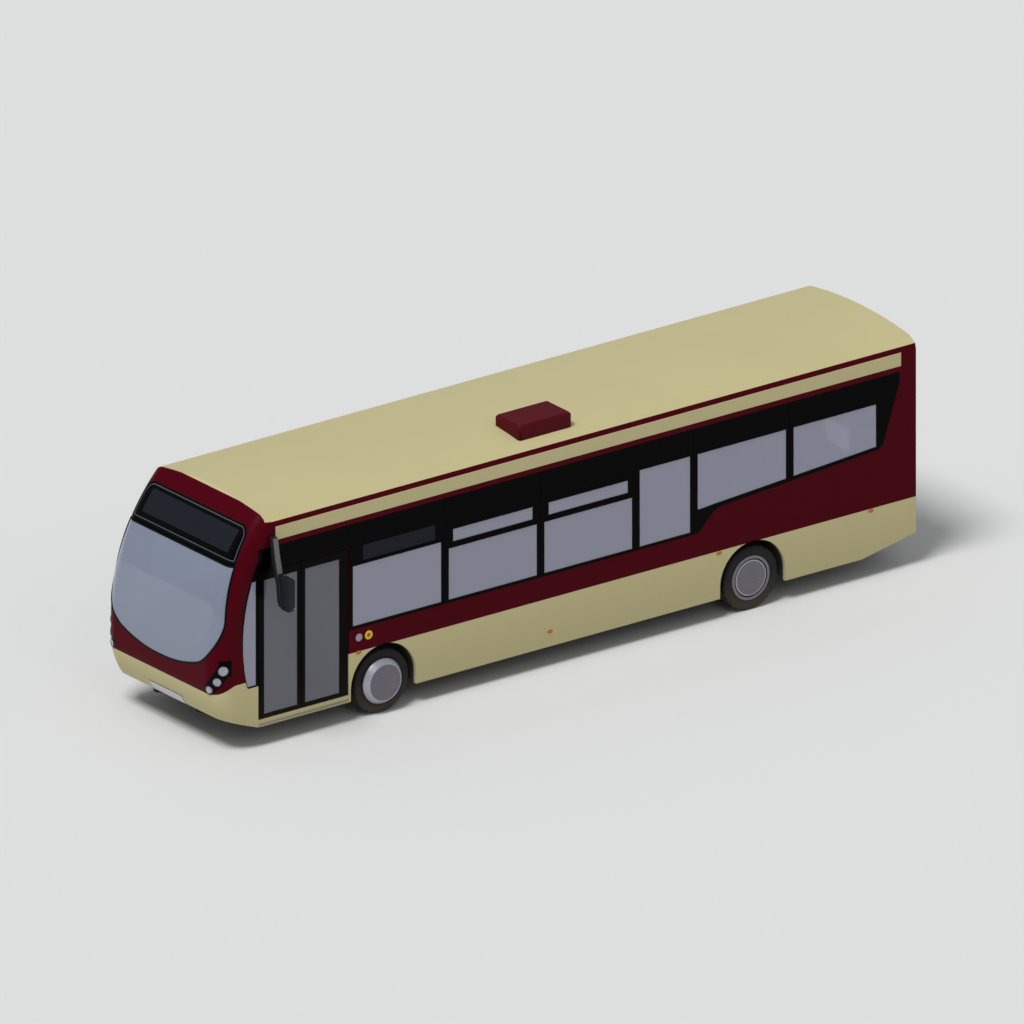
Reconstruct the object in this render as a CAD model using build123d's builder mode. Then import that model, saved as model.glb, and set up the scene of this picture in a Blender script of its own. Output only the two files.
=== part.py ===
from build123d import *
import math
import os

# City bus, single deck, low floor, with one double entrance door ahead of the front axle.
# Millimetres. The front looks toward -Y and the entrance side toward +X.
# The origin is on the road, midway along the bus and on its centre line.

# Overall sizes
overall_length = 11160
half_width = 1200
roof_z = 3200
wall = 50
skirt_z = 282
bumper_z = 461
cant_drop = 238
cant_z = roof_z - cant_drop
seam = 5
cut_reach = overall_length
front_cut = 1100

# Lengthwise places, measured from the front or from the rear
front_y = -overall_length / 2
rear_y = overall_length / 2
front_axle_y = front_y + 2665
rear_axle_y = rear_y - 2605
dome_y = front_y + 812
door_front_y = front_y + 669
door_rear_y = front_y + 2114
rear_rise_y = rear_y - 855
rear_skirt_z = 450

# Side view of the front: a long arc above the nose and a short one below it
nose_top_z = 1250
nose_low_z = 1000
screen_radius = 2681
chin_radius = 993
corner_radius = 250

# Cross-section of the roof
shoulder_lean = 17
shoulder_rise = 79
shoulder_z = cant_z + shoulder_rise
crown_edge_inset = 154
crown_edge_x = half_width - crown_edge_inset
crown_edge_drop = 83
crown_edge_z = roof_z - crown_edge_drop

# Wheels
tyre_radius = 435
tyre_width = 264
tyre_inset = 35
rim_radius = 286
flange_radius = 298
twin_gap = 42
axle_z = tyre_radius
arch_radius = 520
arch_depth = 640
arch_inner_x = half_width - arch_depth
liner = 8

# Floors
floor_z = 360
step_z = 545
rear_floor_z = 730
floor_thickness = 40
step_start_y = rear_y - 3630
step_tread = 250
floor_half_width = half_width - wall

# Side glazing: the black band, the pane thickness and the clear glass
band_drop = 247
band_top_z = cant_z - band_drop
band_low_z = 1262
pane = 6
glass_low_z = 1304
glass_drop = 358
glass_top_z = band_top_z - glass_drop

# Entrance door
door_low_z = 378
door_drop = 320
door_top_z = band_top_z - door_drop
door_gap = 12
leaf_thickness = 36
leaf_inset = 8
post_offset = 30
door_glass_border = 60
door_glass_low_z = door_low_z + door_glass_border
door_glass_drop = 115
door_glass_top_z = door_top_z - door_glass_drop
pivot_radius = 8
pivot_depth = 30
pivot_x = half_width - leaf_inset - leaf_thickness / 2
pivot_places = (
    door_front_y + door_gap + post_offset,
    door_rear_y - door_gap - post_offset,
)

os.makedirs("parts", exist_ok=True)


def save(shape, name):
    """Label one finished piece and write it as its own file."""
    shape.label = name
    export_step(shape, f"parts/{name}.step")


def block(x_range, y_range, z_range, mode=Mode.ADD):
    """A box between two limits along each axis, in the part being built."""
    centre = [(low + high) / 2 for low, high in (x_range, y_range, z_range)]
    spans = [abs(high - low) for low, high in (x_range, y_range, z_range)]
    with Locations(tuple(centre)):
        Box(*spans, mode=mode)


def rod(start, end, radius, mode=Mode.ADD):
    """A round bar between two points, in the part being built."""
    run = Vector(*end) - Vector(*start)
    with BuildSketch(Plane(origin=start, z_dir=run)) as section:
        Circle(radius)
    extrude(section.sketch, amount=run.length, mode=mode)


def screen_y(z, inset=0):
    """Place of the raked front at a height above the nose."""
    radius = screen_radius - inset
    return front_y + screen_radius - math.sqrt(radius**2 - (z - nose_top_z) ** 2)


def chin_y(z, inset=0):
    """Place of the front below the nose, where it turns under."""
    radius = chin_radius - inset
    return front_y + chin_radius - math.sqrt(radius**2 - (nose_low_z - z) ** 2)


def crown_height(x, inset=0):
    """Height of the crowned roof at a distance from the centre line."""
    rise = roof_z - crown_edge_z
    radius = (crown_edge_x**2 + rise**2) / (2 * rise)
    return roof_z - radius + math.sqrt((radius - inset) ** 2 - x**2)


def hull(inset, underside):
    """The closed outer form of the body, or the same form moved in by one wall."""
    front = front_y + inset
    rear = rear_y - inset
    top = roof_z + wall
    middle = (top + nose_top_z) / 2
    low = bumper_z
    chin_middle = (nose_low_z + low) / 2
    with BuildPart() as form:
        with BuildSketch(Plane.YZ):
            with BuildLine():
                ThreePointArc(
                    (screen_y(top, inset), top),
                    (screen_y(middle, inset), middle),
                    (front, nose_top_z),
                )
                Line((front, nose_top_z), (front, nose_low_z))
                ThreePointArc(
                    (front, nose_low_z),
                    (chin_y(chin_middle, inset), chin_middle),
                    (chin_y(low, inset), low),
                )
                Polyline(
                    (chin_y(low, inset), low),
                    *underside,
                    (rear, top),
                    (screen_y(top, inset), top),
                )
            make_face()
        extrude(amount=half_width - inset, both=True)
        side = half_width - inset
        corners = [
            edge
            for edge in form.edges()
            if abs(abs(edge.center().X) - side) < 1 and edge.center().Y < front + corner_radius
        ]
        fillet(corners, radius=corner_radius - inset)
        with BuildSketch(Plane.XZ):
            with BuildLine():
                Polyline(
                    (-crown_edge_x, crown_edge_z),
                    (-half_width + shoulder_lean, shoulder_z),
                    (-half_width, cant_z),
                    (-half_width, -wall),
                    (half_width, -wall),
                    (half_width, cant_z),
                    (half_width - shoulder_lean, shoulder_z),
                    (crown_edge_x, crown_edge_z),
                )
                ThreePointArc(
                    (crown_edge_x, crown_edge_z), (0, roof_z), (-crown_edge_x, crown_edge_z)
                )
            make_face()
            if inset:
                offset(amount=-inset, kind=Kind.INTERSECTION, mode=Mode.REPLACE)
        extrude(amount=overall_length, both=True, mode=Mode.INTERSECT)
    return form.part


outside = hull(
    0,
    [
        (door_front_y, skirt_z),
        (rear_rise_y, skirt_z),
        (rear_y, rear_skirt_z),
    ],
)
open_z = 2 * wall
inside = hull(wall, [(chin_y(bumper_z, wall), open_z), (rear_y - wall, open_z)])

# Shell of the whole body, from which each panel is taken where the real panels meet
with BuildPart() as shell_builder:
    add(outside)
    add(inside, mode=Mode.SUBTRACT)
shell = shell_builder.part

bumper_top_z = 835

# Bays of the side glazing, one row each: first and last Y of the pane, lowest and highest clear
# glass, and whether a hopper vent stands above it. Rows behind the rear axle have a rising sill.
frit = 57
vent_frit = 68
vent_drop = 452
vent_top_z = band_top_z - vent_drop
vent_height = 175
vent_low_z = vent_top_z - vent_height
bar_height = 76
main_top_z = vent_low_z - bar_height
first_drop = 583
first_top_z = band_top_z - first_drop
upper_pane_gap = 25
raised_glass_z = 1584
rise = 0.0637
rise_start_y = rear_y - 3545
middle_start_y = front_y + 5170
middle_end_y = rear_y - 4470
bar_z = (main_top_z + vent_low_z) / 2
vent_seam_z = vent_top_z + 2 * upper_pane_gap
bay_columns = ("start", "end", "low", "top", "vent", "rising")
bay_rows = [
    (door_rear_y, front_y + 3645, glass_low_z, first_top_z, False, False),
    (front_y + 3645, middle_start_y, glass_low_z, main_top_z, True, False),
    (middle_start_y, middle_end_y, glass_low_z, main_top_z, True, False),
    (middle_end_y, rise_start_y, glass_low_z, glass_top_z, False, False),
    (rise_start_y, rear_y - 2015, raised_glass_z, glass_top_z, False, True),
    (rear_y - 2015, rear_y - 578, raised_glass_z, glass_top_z, False, True),
]
bays = [dict(zip(bay_columns, row)) for row in bay_rows]
band_end_drop = 138
band_end = [
    (rear_y - 590, 1725),
    (rear_y - 525, 1777),
    (rear_y - 260, band_top_z - band_end_drop),
    (rear_y - 265, band_top_z),
]
band_step = [
    (rise_start_y, band_low_z),
    (rise_start_y + 84, 1276),
    (rise_start_y + 323, 1514),
    (rise_start_y + 415, 1549),
]
band_rise = (band_end[0][1] - band_step[-1][1]) / (band_end[0][0] - band_step[-1][0])


def rectangle(y_range, z_range):
    """Corners of an upright rectangle in side view."""
    return [
        (y_range[0], z_range[0]),
        (y_range[1], z_range[0]),
        (y_range[1], z_range[1]),
        (y_range[0], z_range[1]),
    ]


def clear_outline(bay):
    """Corners of the clear glass in one bay."""
    first = bay["start"] + frit
    last = bay["end"] - frit
    lift = rise if bay["rising"] else 0
    return [
        (first, bay["low"] + (first - rise_start_y) * lift),
        (last, bay["low"] + (last - rise_start_y) * lift),
        (last, bay["top"]),
        (first, bay["top"]),
    ]


def vent_outline(bay):
    """Corners of the clear glass of a hopper vent."""
    first = bay["start"] + frit + vent_frit
    last = bay["end"] - frit - vent_frit
    return [(first, vent_low_z), (last, vent_low_z), (last, vent_top_z), (first, vent_top_z)]


def pane_outlines(bay):
    """Corners of each pane in one bay, with a seam around it."""
    first = bay["start"] + seam / 2
    last = bay["end"] - seam / 2
    top = band_top_z
    if bay["rising"] and bay["start"] == rise_start_y:
        low_end = band_step[-1][1] + (last - band_step[-1][0]) * band_rise
        low_start = band_step[1][1] - seam
        return [[(first, low_start), *band_step[1:], (last, low_end), (last, top), (first, top)]]
    if bay["rising"]:
        low_start = band_step[-1][1] + (first - band_step[-1][0]) * band_rise
        return [[(first, low_start), *band_end, (first, top)]]
    if bay["vent"]:
        levels = [(band_low_z, bar_z), (bar_z, vent_seam_z), (vent_seam_z, top)]
    elif bay["top"] == first_top_z:
        split_z = first_top_z + upper_pane_gap
        levels = [(band_low_z, split_z), (split_z, top)]
    else:
        levels = [(band_low_z, top)]
    return [
        rectangle((first, last), (low + seam / 2, high - seam / 2))
        for low, high in levels
    ]


band_outline = [
    (door_rear_y, band_low_z),
    *band_step,
    *band_end,
    (door_rear_y, band_top_z),
]


def side_prism(side, outline, outer_x, inner_x, mode=Mode.ADD):
    """A flat piece with a side-view outline between two distances from the centre line."""
    with BuildSketch(Plane.YZ.offset(side * inner_x)) as profile:
        with BuildLine():
            Polyline(*outline, close=True)
        make_face()
    extrude(profile.sketch, amount=side * (outer_x - inner_x), mode=mode)


def wheel_arches(side, reach, inner_x, radius, mode):
    """Both arches of one side: round above the axle, straight below it."""
    for y in (front_axle_y, rear_axle_y):
        with BuildSketch(Plane.YZ.offset(side * inner_x)) as arch:
            with Locations((y, axle_z)):
                Circle(radius)
            with Locations((y, axle_z / 2)):
                Rectangle(2 * radius, axle_z)
        extrude(arch.sketch, amount=side * (reach - inner_x), mode=mode)


driver_bay = {
    "start": door_front_y,
    "end": door_rear_y,
    "low": glass_low_z,
    "top": first_top_z,
    "vent": False,
    "rising": False,
}

# Side walls: aluminium panels on a frame, with the window openings cut through and the glazing
# set flush into a rebate
for side, name in ((1, "side_wall_left"), (-1, "side_wall_right")):
    side_bays = bays if side > 0 else [driver_bay, *bays]
    with BuildPart() as side_wall:
        add(shell)
        side_prism(
            side,
            rectangle((door_front_y, rear_y - wall), (0, cant_z)),
            half_width + wall,
            half_width - 2 * wall,
            Mode.INTERSECT,
        )
        wheel_arches(side, half_width + wall, half_width - 2 * wall, arch_radius, Mode.SUBTRACT)
        side_prism(side, band_outline, half_width + wall, half_width - pane, Mode.SUBTRACT)
        side_prism(
            side,
            rectangle((door_front_y, door_rear_y), (door_top_z if side > 0 else band_low_z, band_top_z)),
            half_width + wall,
            half_width - pane,
            Mode.SUBTRACT,
        )
        for bay in side_bays:
            side_prism(side, clear_outline(bay), half_width + wall, half_width - 2 * wall, Mode.SUBTRACT)
            if bay["vent"]:
                side_prism(side, vent_outline(bay), half_width + wall, half_width - 2 * wall, Mode.SUBTRACT)
        if side > 0:
            side_prism(
                side,
                rectangle((door_front_y, door_rear_y), (door_low_z, door_top_z)),
                half_width + wall,
                half_width - 2 * wall,
                Mode.SUBTRACT,
            )
            for y in pivot_places:
                for edge_z, way in ((door_low_z, 1), (door_top_z, -1)):
                    tip_z = edge_z + way * (door_gap + pivot_depth)
                    rod((pivot_x, y, edge_z - way), (pivot_x, y, tip_z), pivot_radius)
    save(side_wall.part, name)

# Roof: one crowned panel from the front dome to the rear end
with BuildPart() as roof_panel:
    add(shell)
    block((-cut_reach, cut_reach), (dome_y, rear_y + wall), (cant_z, roof_z + wall), Mode.INTERSECT)
save(roof_panel.part, "roof_panel")

# Roof pod: a low moulded cover with bevelled edges
pod_length = 846
pod_width = 530
pod_inset = 440
pod_x = half_width - pod_inset
pod_y = -195
pod_rise = 125
pod_top_z = roof_z + pod_rise
pod_round = 45
pod_bevel = 27
with BuildPart() as roof_pod:
    block(
        (pod_x - pod_width / 2, pod_x + pod_width / 2),
        (pod_y - pod_length / 2, pod_y + pod_length / 2),
        (shoulder_z, pod_top_z),
    )
    fillet(roof_pod.edges().filter_by(Axis.Z), radius=pod_round)
    chamfer(roof_pod.faces().sort_by(Axis.Z)[-1].edges(), length=pod_bevel)
    add(outside, mode=Mode.SUBTRACT)
save(roof_pod.part, "roof_pod")

# Front panel: the moulding around the windscreen, the corner pillars and the dome
sign_drop = 215
sign_height = 425
sign_bar = 45
sign_upper_z = roof_z - sign_drop
sign_bottom_z = sign_upper_z - sign_height
sign_half = half_width - 115
sign_lean = 45
sign_low_round = 20
sign_top_round = 130
screen_low_z = 1071
screen_top_z = sign_bottom_z - sign_bar
screen_top_half = half_width - 110
screen_widest = (half_width - wall, screen_top_z - 649)
screen_cheek = (half_width - 115, 1500)
screen_corner = (half_width - 385, screen_low_z + 144)
screen_sill = (430, screen_low_z + 34)
screen_gap = 0.3
screen_pane = 8
quarter_low_z = 870
quarter_drop = 415
quarter_top_z = band_top_z - quarter_drop
quarter_rear_y = front_y + 632
quarter_foot_y = front_y + 490
quarter_head_y = front_y + 565
quarter_bow = (front_y + 418, 1500)


def screen_outline(shrink=0):
    """The windscreen in front view: straight top, leaning sides and a round lower edge."""
    top_corner = (screen_top_half - shrink, screen_top_z - shrink)
    widest = (screen_widest[0] - shrink, screen_widest[1])
    cheek = (screen_cheek[0] - shrink, screen_cheek[1])
    corner = (screen_corner[0] - shrink / 2, screen_corner[1] + shrink / 2)
    sill = (screen_sill[0], screen_sill[1] + shrink)
    with BuildSketch() as outline:
        with BuildLine():
            Line((0, screen_top_z - shrink), top_corner)
            Line(top_corner, widest)
            ThreePointArc(widest, cheek, corner)
            ThreePointArc(corner, sill, (0, screen_low_z + shrink))
            mirror(about=Plane.YZ)
        make_face()
    return outline.sketch


def quarter_outline(shrink=0):
    """The quarter glass ahead of the door in side view, with its curved front edge."""
    low_corner = (quarter_foot_y + shrink, quarter_low_z + shrink)
    top_corner = (quarter_head_y + shrink, quarter_top_z - shrink)
    bow = (quarter_bow[0] + shrink, quarter_bow[1])
    with BuildSketch() as outline:
        with BuildLine():
            ThreePointArc(low_corner, bow, top_corner)
            Polyline(
                top_corner,
                (quarter_rear_y - shrink, quarter_top_z - shrink),
                (quarter_rear_y - shrink, quarter_low_z + shrink),
                low_corner,
            )
        make_face()
    return outline.sketch


def sign_outline(shrink=0):
    """The destination glass in front view, narrower and rounded at its top."""
    with BuildSketch() as outline:
        with BuildLine():
            FilletPolyline(
                (0, sign_bottom_z + shrink),
                (sign_half - shrink, sign_bottom_z + shrink),
                (sign_half - sign_lean - shrink, sign_upper_z - shrink),
                (0, sign_upper_z - shrink),
                radius=(sign_low_round, sign_top_round),
            )
            mirror(about=Plane.YZ)
        make_face()
    return outline.sketch


# Headlamps: three round lamps in one teardrop at each rounded corner, each a distance in from the
# side of the body
lamp_columns = ("inset", "z", "radius")
lamp_rows = [(175, 900, 56), (78, 1019, 62), (30, 1170, 72)]
lamps = [dict(zip(lamp_columns, row)) for row in lamp_rows]
lamp_depth = 40
lamp_rim = 16
lamp_proud = 4
corner_y = front_y + corner_radius


def corner_plane(side, lamp):
    """A plane that touches the rounded front corner at the middle of a lamp."""
    sine = 1 - lamp["inset"] / corner_radius
    cosine = math.sqrt(1 - sine**2)
    x = half_width - lamp["inset"]
    origin = (side * x, corner_y - corner_radius * cosine, lamp["z"])
    return Plane(origin=origin, x_dir=(side * cosine, sine, 0), z_dir=(side * sine, -cosine, 0))


def lamp_outline(side, shrink=0):
    """The teardrop around the three lamps of one corner, seen square to its middle lamp."""
    plane = corner_plane(side, lamps[1])
    with BuildSketch() as outline:
        for lamp in lamps:
            place = plane.to_local_coords(corner_plane(side, lamp).origin)
            with Locations((place.X, place.Y)):
                Circle(lamp["radius"] + lamp_rim - shrink)
        make_hull()
    return plane, outline.sketch


def lamp_form(shrink, clearance):
    """The teardrops of both corners as solid forms, widened round each lens."""
    with BuildPart() as form:
        for side in (-1, 1):
            plane, outline = lamp_outline(side, shrink)
            with BuildSketch(plane.offset(-lamp_depth * 2)) as profile:
                add(outline)
            extrude(profile.sketch, amount=corner_radius)
            for lamp in lamps:
                plane = corner_plane(side, lamp)
                with BuildSketch(plane.offset(-lamp_depth * 2)) as profile:
                    Circle(lamp["radius"] + clearance)
                extrude(profile.sketch, amount=lamp_depth * 3)
    return form.part


lamp_cutter = lamp_form(0, 2 * seam)
lamp_keep = lamp_form(seam, seam)

front_region = [
    (front_y - wall, bumper_top_z),
    (door_front_y, bumper_top_z),
    (door_front_y, band_top_z),
    (dome_y, band_top_z),
    (dome_y, roof_z + wall),
    (front_y - wall, roof_z + wall),
]
with BuildPart() as front_panel:
    add(shell)
    with BuildSketch(Plane.YZ):
        with BuildLine():
            Polyline(*front_region, close=True)
        make_face()
    extrude(amount=half_width + wall, both=True, mode=Mode.INTERSECT)
    side_cant = rectangle((door_front_y, dome_y), (0, cant_z))
    for side in (-1, 1):
        side_prism(side, side_cant, half_width + wall, half_width - 2 * wall, Mode.SUBTRACT)
    with BuildSketch(Plane.XZ.offset(-dome_y)):
        add(screen_outline(-screen_gap))
        add(sign_outline(-screen_gap))
    extrude(amount=front_cut, mode=Mode.SUBTRACT)
    for side in (-1, 1):
        with BuildSketch(Plane.YZ.offset(side * (half_width - 3 * wall))):
            add(quarter_outline(-screen_gap))
        extrude(amount=side * 4 * wall, mode=Mode.SUBTRACT)
    add(lamp_cutter, mode=Mode.SUBTRACT)
save(front_panel.part, "front_panel")

# Front bumper: the lower moulding, which turns under at the chin
with BuildPart() as front_bumper:
    add(shell)
    block((-cut_reach, cut_reach), (front_y - wall, door_front_y), (0, bumper_top_z), Mode.INTERSECT)
    add(lamp_cutter, mode=Mode.SUBTRACT)
save(front_bumper.part, "front_bumper")

# Glass that follows the rounded front, bonded into its openings
glass_inset = 2
with BuildPart() as glass_builder:
    for inset, mode in ((glass_inset, Mode.ADD), (glass_inset + screen_pane, Mode.SUBTRACT)):
        face = hull(inset, [(chin_y(bumper_z, inset), open_z), (rear_y - inset, open_z)])
        add(face, mode=mode)
    block((-cut_reach, cut_reach), (front_y - wall, dome_y), (0, roof_z), Mode.INTERSECT)
glass_skin = glass_builder.part

for name, outline in (("windscreen", screen_outline()), ("destination_glass", sign_outline())):
    with BuildPart() as front_glass:
        add(glass_skin)
        with BuildSketch(Plane.XZ.offset(-dome_y)) as profile:
            add(outline)
        extrude(profile.sketch, amount=front_cut, mode=Mode.INTERSECT)
    save(front_glass.part, name)

# Side glazing: the curved quarter panes, and flat panes bonded over the side openings
with BuildPart() as side_glass:
    add(glass_skin)
    with BuildSketch(Plane.YZ) as profile:
        add(quarter_outline())
    extrude(profile.sketch, amount=half_width, both=True, mode=Mode.INTERSECT)
    for side in (-1, 1):
        side_bays = bays if side > 0 else [driver_bay, *bays]
        for bay in side_bays:
            for outline in pane_outlines(bay):
                side_prism(side, outline, half_width, half_width - pane)
    over_door = rectangle(
        (door_front_y + seam / 2, door_rear_y - seam / 2), (door_top_z + seam, band_top_z - seam / 2)
    )
    side_prism(1, over_door, half_width, half_width - pane)
save(side_glass.part, "side_glass")

# Lamp lenses and the dark housings around them
with BuildPart() as lens_builder:
    for side in (-1, 1):
        for lamp in lamps:
            plane = corner_plane(side, lamp)
            with BuildSketch(plane.offset(-lamp_depth)) as profile:
                Circle(lamp["radius"])
            extrude(profile.sketch, amount=lamp_depth + lamp_proud)
with BuildPart() as lamp_housings:
    add(outside)
    block((-cut_reach, cut_reach), (front_y - wall, corner_y), (bumper_z, nose_top_z + wall), Mode.INTERSECT)
    add(inside, mode=Mode.SUBTRACT)
    add(lamp_keep, mode=Mode.INTERSECT)
    add(lens_builder.part, mode=Mode.SUBTRACT)
save(lamp_housings.part, "headlamp_housings")
save(lens_builder.part, "headlamp_lenses")


# Rear panel: a flat end with a window and an opening for the engine door
rear_window_half = half_width - 300
rear_window_low_z = 1790
rear_window_drop = 235
rear_window_top_z = band_top_z - rear_window_drop
rear_window_round = 70
rear_pane_depth = 10
engine_door_half = half_width - 270
engine_door_low_z = 530
engine_door_top_z = 1550
engine_door_gap = 10
engine_door_thickness = 34
hinge_drop = 30
hinge_pin_radius = 6
hinge_pin_depth = 30
engine_hinge_y = rear_y - engine_door_thickness / 2
engine_hinge_z = engine_door_top_z - hinge_drop
pin_gap = 0.3
tail_lamp_x = half_width - 120
tail_lamp_depth = 25
tail_lamp_proud = 8
tail_lamp_radius = 48
tail_lamp_heights = (1640, 1510, 1380, 1250)


def rear_lamps(length, mode):
    """Round lamps in a column on each side of the rear panel."""
    for side in (-1, 1):
        for z in tail_lamp_heights:
            with BuildSketch(Plane.XZ.offset(tail_lamp_depth - rear_y)) as disc:
                with Locations((side * tail_lamp_x, z)):
                    Circle(tail_lamp_radius)
            extrude(disc.sketch, amount=-length, mode=mode)


def rear_window_outline():
    """The rear window in rear view, with rounded corners."""
    with BuildSketch() as outline:
        with Locations((0, (rear_window_low_z + rear_window_top_z) / 2)):
            RectangleRounded(2 * rear_window_half, rear_window_top_z - rear_window_low_z, rear_window_round)
    return outline.sketch


def rear_prism(x_half, z_range, y_range, mode=Mode.ADD):
    """A centred block across the rear of the bus."""
    block((-x_half, x_half), y_range, z_range, mode)


with BuildPart() as rear_panel:
    add(shell)
    block((-cut_reach, cut_reach), (rear_y - wall, rear_y + wall), (0, cant_z), Mode.INTERSECT)
    with BuildSketch(Plane.XZ.offset(-rear_y - wall)) as profile:
        add(rear_window_outline())
    extrude(profile.sketch, amount=3 * wall, mode=Mode.SUBTRACT)
    rear_prism(
        engine_door_half + engine_door_gap,
        (engine_door_low_z - engine_door_gap, engine_door_top_z + engine_door_gap),
        (rear_y - 2 * wall, rear_y + wall),
        Mode.SUBTRACT,
    )
    rear_lamps(tail_lamp_depth + wall, Mode.SUBTRACT)
    for side in (-1, 1):
        rod(
            (side * (engine_door_half + engine_door_gap), engine_hinge_y, engine_hinge_z),
            (side * (engine_door_half - hinge_pin_depth), engine_hinge_y, engine_hinge_z),
            hinge_pin_radius,
        )
save(rear_panel.part, "rear_panel")

with BuildPart() as tail_lamps:
    rear_lamps(tail_lamp_depth + tail_lamp_proud, Mode.ADD)
save(tail_lamps.part, "tail_lamps")

with BuildPart() as rear_window:
    with BuildSketch(Plane.XZ.offset(-rear_y + rear_pane_depth + screen_pane)) as profile:
        add(rear_window_outline())
    extrude(profile.sketch, amount=screen_pane)
save(rear_window.part, "rear_window")

# Engine door: a top-hinged panel with two louvred grilles
louvre_low_z = 1060
louvre_top_z = 1440
louvre_inner_x = 90
louvre_outer_x = engine_door_half - 110
louvre_count = 9
louvre_blade = 9
louvre_inset = 2
louvre_pitch = (louvre_top_z - louvre_low_z) / louvre_count
with BuildPart() as engine_door:
    rear_prism(
        engine_door_half,
        (engine_door_low_z, engine_door_top_z),
        (rear_y - engine_door_thickness, rear_y),
    )
    for side in (-1, 1):
        block(
            (side * louvre_inner_x, side * louvre_outer_x),
            (rear_y - 2 * engine_door_thickness, rear_y + wall),
            (louvre_low_z, louvre_top_z),
            Mode.SUBTRACT,
        )
    for side in (-1, 1):
        for count in range(louvre_count):
            z = louvre_low_z + (count + 0.5) * louvre_pitch
            outer_y = rear_y - louvre_inset
            inner_y = rear_y - engine_door_thickness + louvre_inset
            foot_z = z - louvre_pitch / 2 + louvre_inset
            head_z = z + louvre_pitch / 2 - louvre_inset
            outline = [
                (outer_y, foot_z),
                (outer_y, foot_z + louvre_blade),
                (inner_y, head_z + louvre_blade / 2),
                (inner_y, head_z - louvre_blade / 2),
            ]
            side_prism(side, outline, louvre_outer_x, louvre_inner_x)
        rod(
            (side * (engine_door_half + engine_door_gap), engine_hinge_y, engine_hinge_z),
            (side * (engine_door_half - hinge_pin_depth - engine_door_gap), engine_hinge_y, engine_hinge_z),
            hinge_pin_radius + pin_gap,
            Mode.SUBTRACT,
        )
save(engine_door.part, "engine_door")

# Floor: low from the entrance to the rear axle, then up two steps to the rear
floor_front_y = front_y + 630
rear_inner_y = rear_y - wall
steps = [
    (floor_front_y, floor_z),
    (step_start_y, floor_z),
    (step_start_y, step_z),
    (step_start_y + step_tread, step_z),
    (step_start_y + step_tread, rear_floor_z),
    (rear_inner_y, rear_floor_z),
]
step_bottoms = [
    (rear_inner_y, rear_floor_z - floor_thickness),
    (step_start_y + step_tread + floor_thickness, rear_floor_z - floor_thickness),
    (step_start_y + step_tread + floor_thickness, step_z - floor_thickness),
    (step_start_y + floor_thickness, step_z - floor_thickness),
    (step_start_y + floor_thickness, floor_z - floor_thickness),
    (floor_front_y, floor_z - floor_thickness),
]
underfloor_z = floor_z - floor_thickness
axle_places = (front_axle_y, rear_axle_y)


def arch_prism(axle_y, side, inner_x, outer_x, radius, mode):
    """A wheel-arch form: round above the axle, straight down to the floor's underside."""
    with BuildSketch(Plane.YZ.offset(side * inner_x)) as arch:
        with Locations((axle_y, axle_z)):
            Circle(radius)
        with Locations((axle_y, (axle_z + underfloor_z) / 2)):
            Rectangle(2 * radius, axle_z - underfloor_z)
        with Locations((axle_y, underfloor_z - radius / 2)):
            Rectangle(3 * radius, radius, mode=Mode.SUBTRACT)
    extrude(arch.sketch, amount=side * (outer_x - inner_x), mode=mode)


with BuildPart() as floor:
    with BuildSketch(Plane.YZ):
        with BuildLine():
            Polyline(*steps, *step_bottoms, close=True)
        make_face()
    extrude(amount=floor_half_width, both=True)
    for y in axle_places:
        for side in (-1, 1):
            arch_prism(y, side, arch_inner_x - liner, half_width + wall, arch_radius + liner, Mode.SUBTRACT)
saloon_floor = floor.part

# Wheel boxes: liners over each wheel, closed toward the gangway
with BuildPart() as wheel_boxes:
    for y in axle_places:
        for side in (-1, 1):
            arch_prism(y, side, arch_inner_x - liner, floor_half_width, arch_radius + liner, Mode.ADD)
            arch_prism(y, side, arch_inner_x, half_width + wall, arch_radius, Mode.SUBTRACT)
    block(
        (-arch_inner_x, arch_inner_x),
        (rear_axle_y - 2 * arch_radius, rear_axle_y + 2 * arch_radius),
        (0, rear_floor_z - floor_thickness),
        Mode.SUBTRACT,
    )
save(wheel_boxes.part, "wheel_boxes")

# Driver's platform: a raised shelf across the front, and a box under the driver that stands on the
# saloon floor, each a plate with its own risers
platform_z = 520
platform_rear_y = front_y + 1940
cab_inner_x = -180
platform_low_z = platform_z - floor_thickness
shelf_front_y = front_y + 220
shelf_round = 260
seat_gap = 0.3
shelf_rear_y = floor_front_y - seat_gap
platform_x = (-floor_half_width, cab_inner_x)
with BuildPart() as shelf:
    block(
        (-floor_half_width, floor_half_width),
        (shelf_front_y, shelf_rear_y),
        (platform_low_z, platform_z),
    )
    fillet(shelf.edges().filter_by(Axis.Z).group_by(Axis.Y)[0], radius=shelf_round)
    block(
        (-floor_half_width, floor_half_width),
        (shelf_rear_y - floor_thickness, shelf_rear_y),
        (underfloor_z, platform_low_z),
    )
with BuildPart() as platform:
    block(platform_x, (floor_front_y, platform_rear_y), (platform_low_z, platform_z))
    block(
        platform_x,
        (platform_rear_y - floor_thickness, platform_rear_y),
        (floor_z + seat_gap, platform_z),
    )
    block(
        (cab_inner_x - floor_thickness, cab_inner_x),
        (floor_front_y, platform_rear_y),
        (floor_z + seat_gap, platform_z),
    )
    add(shelf.part)
    add(saloon_floor)
save(platform.part, "floor")

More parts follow.
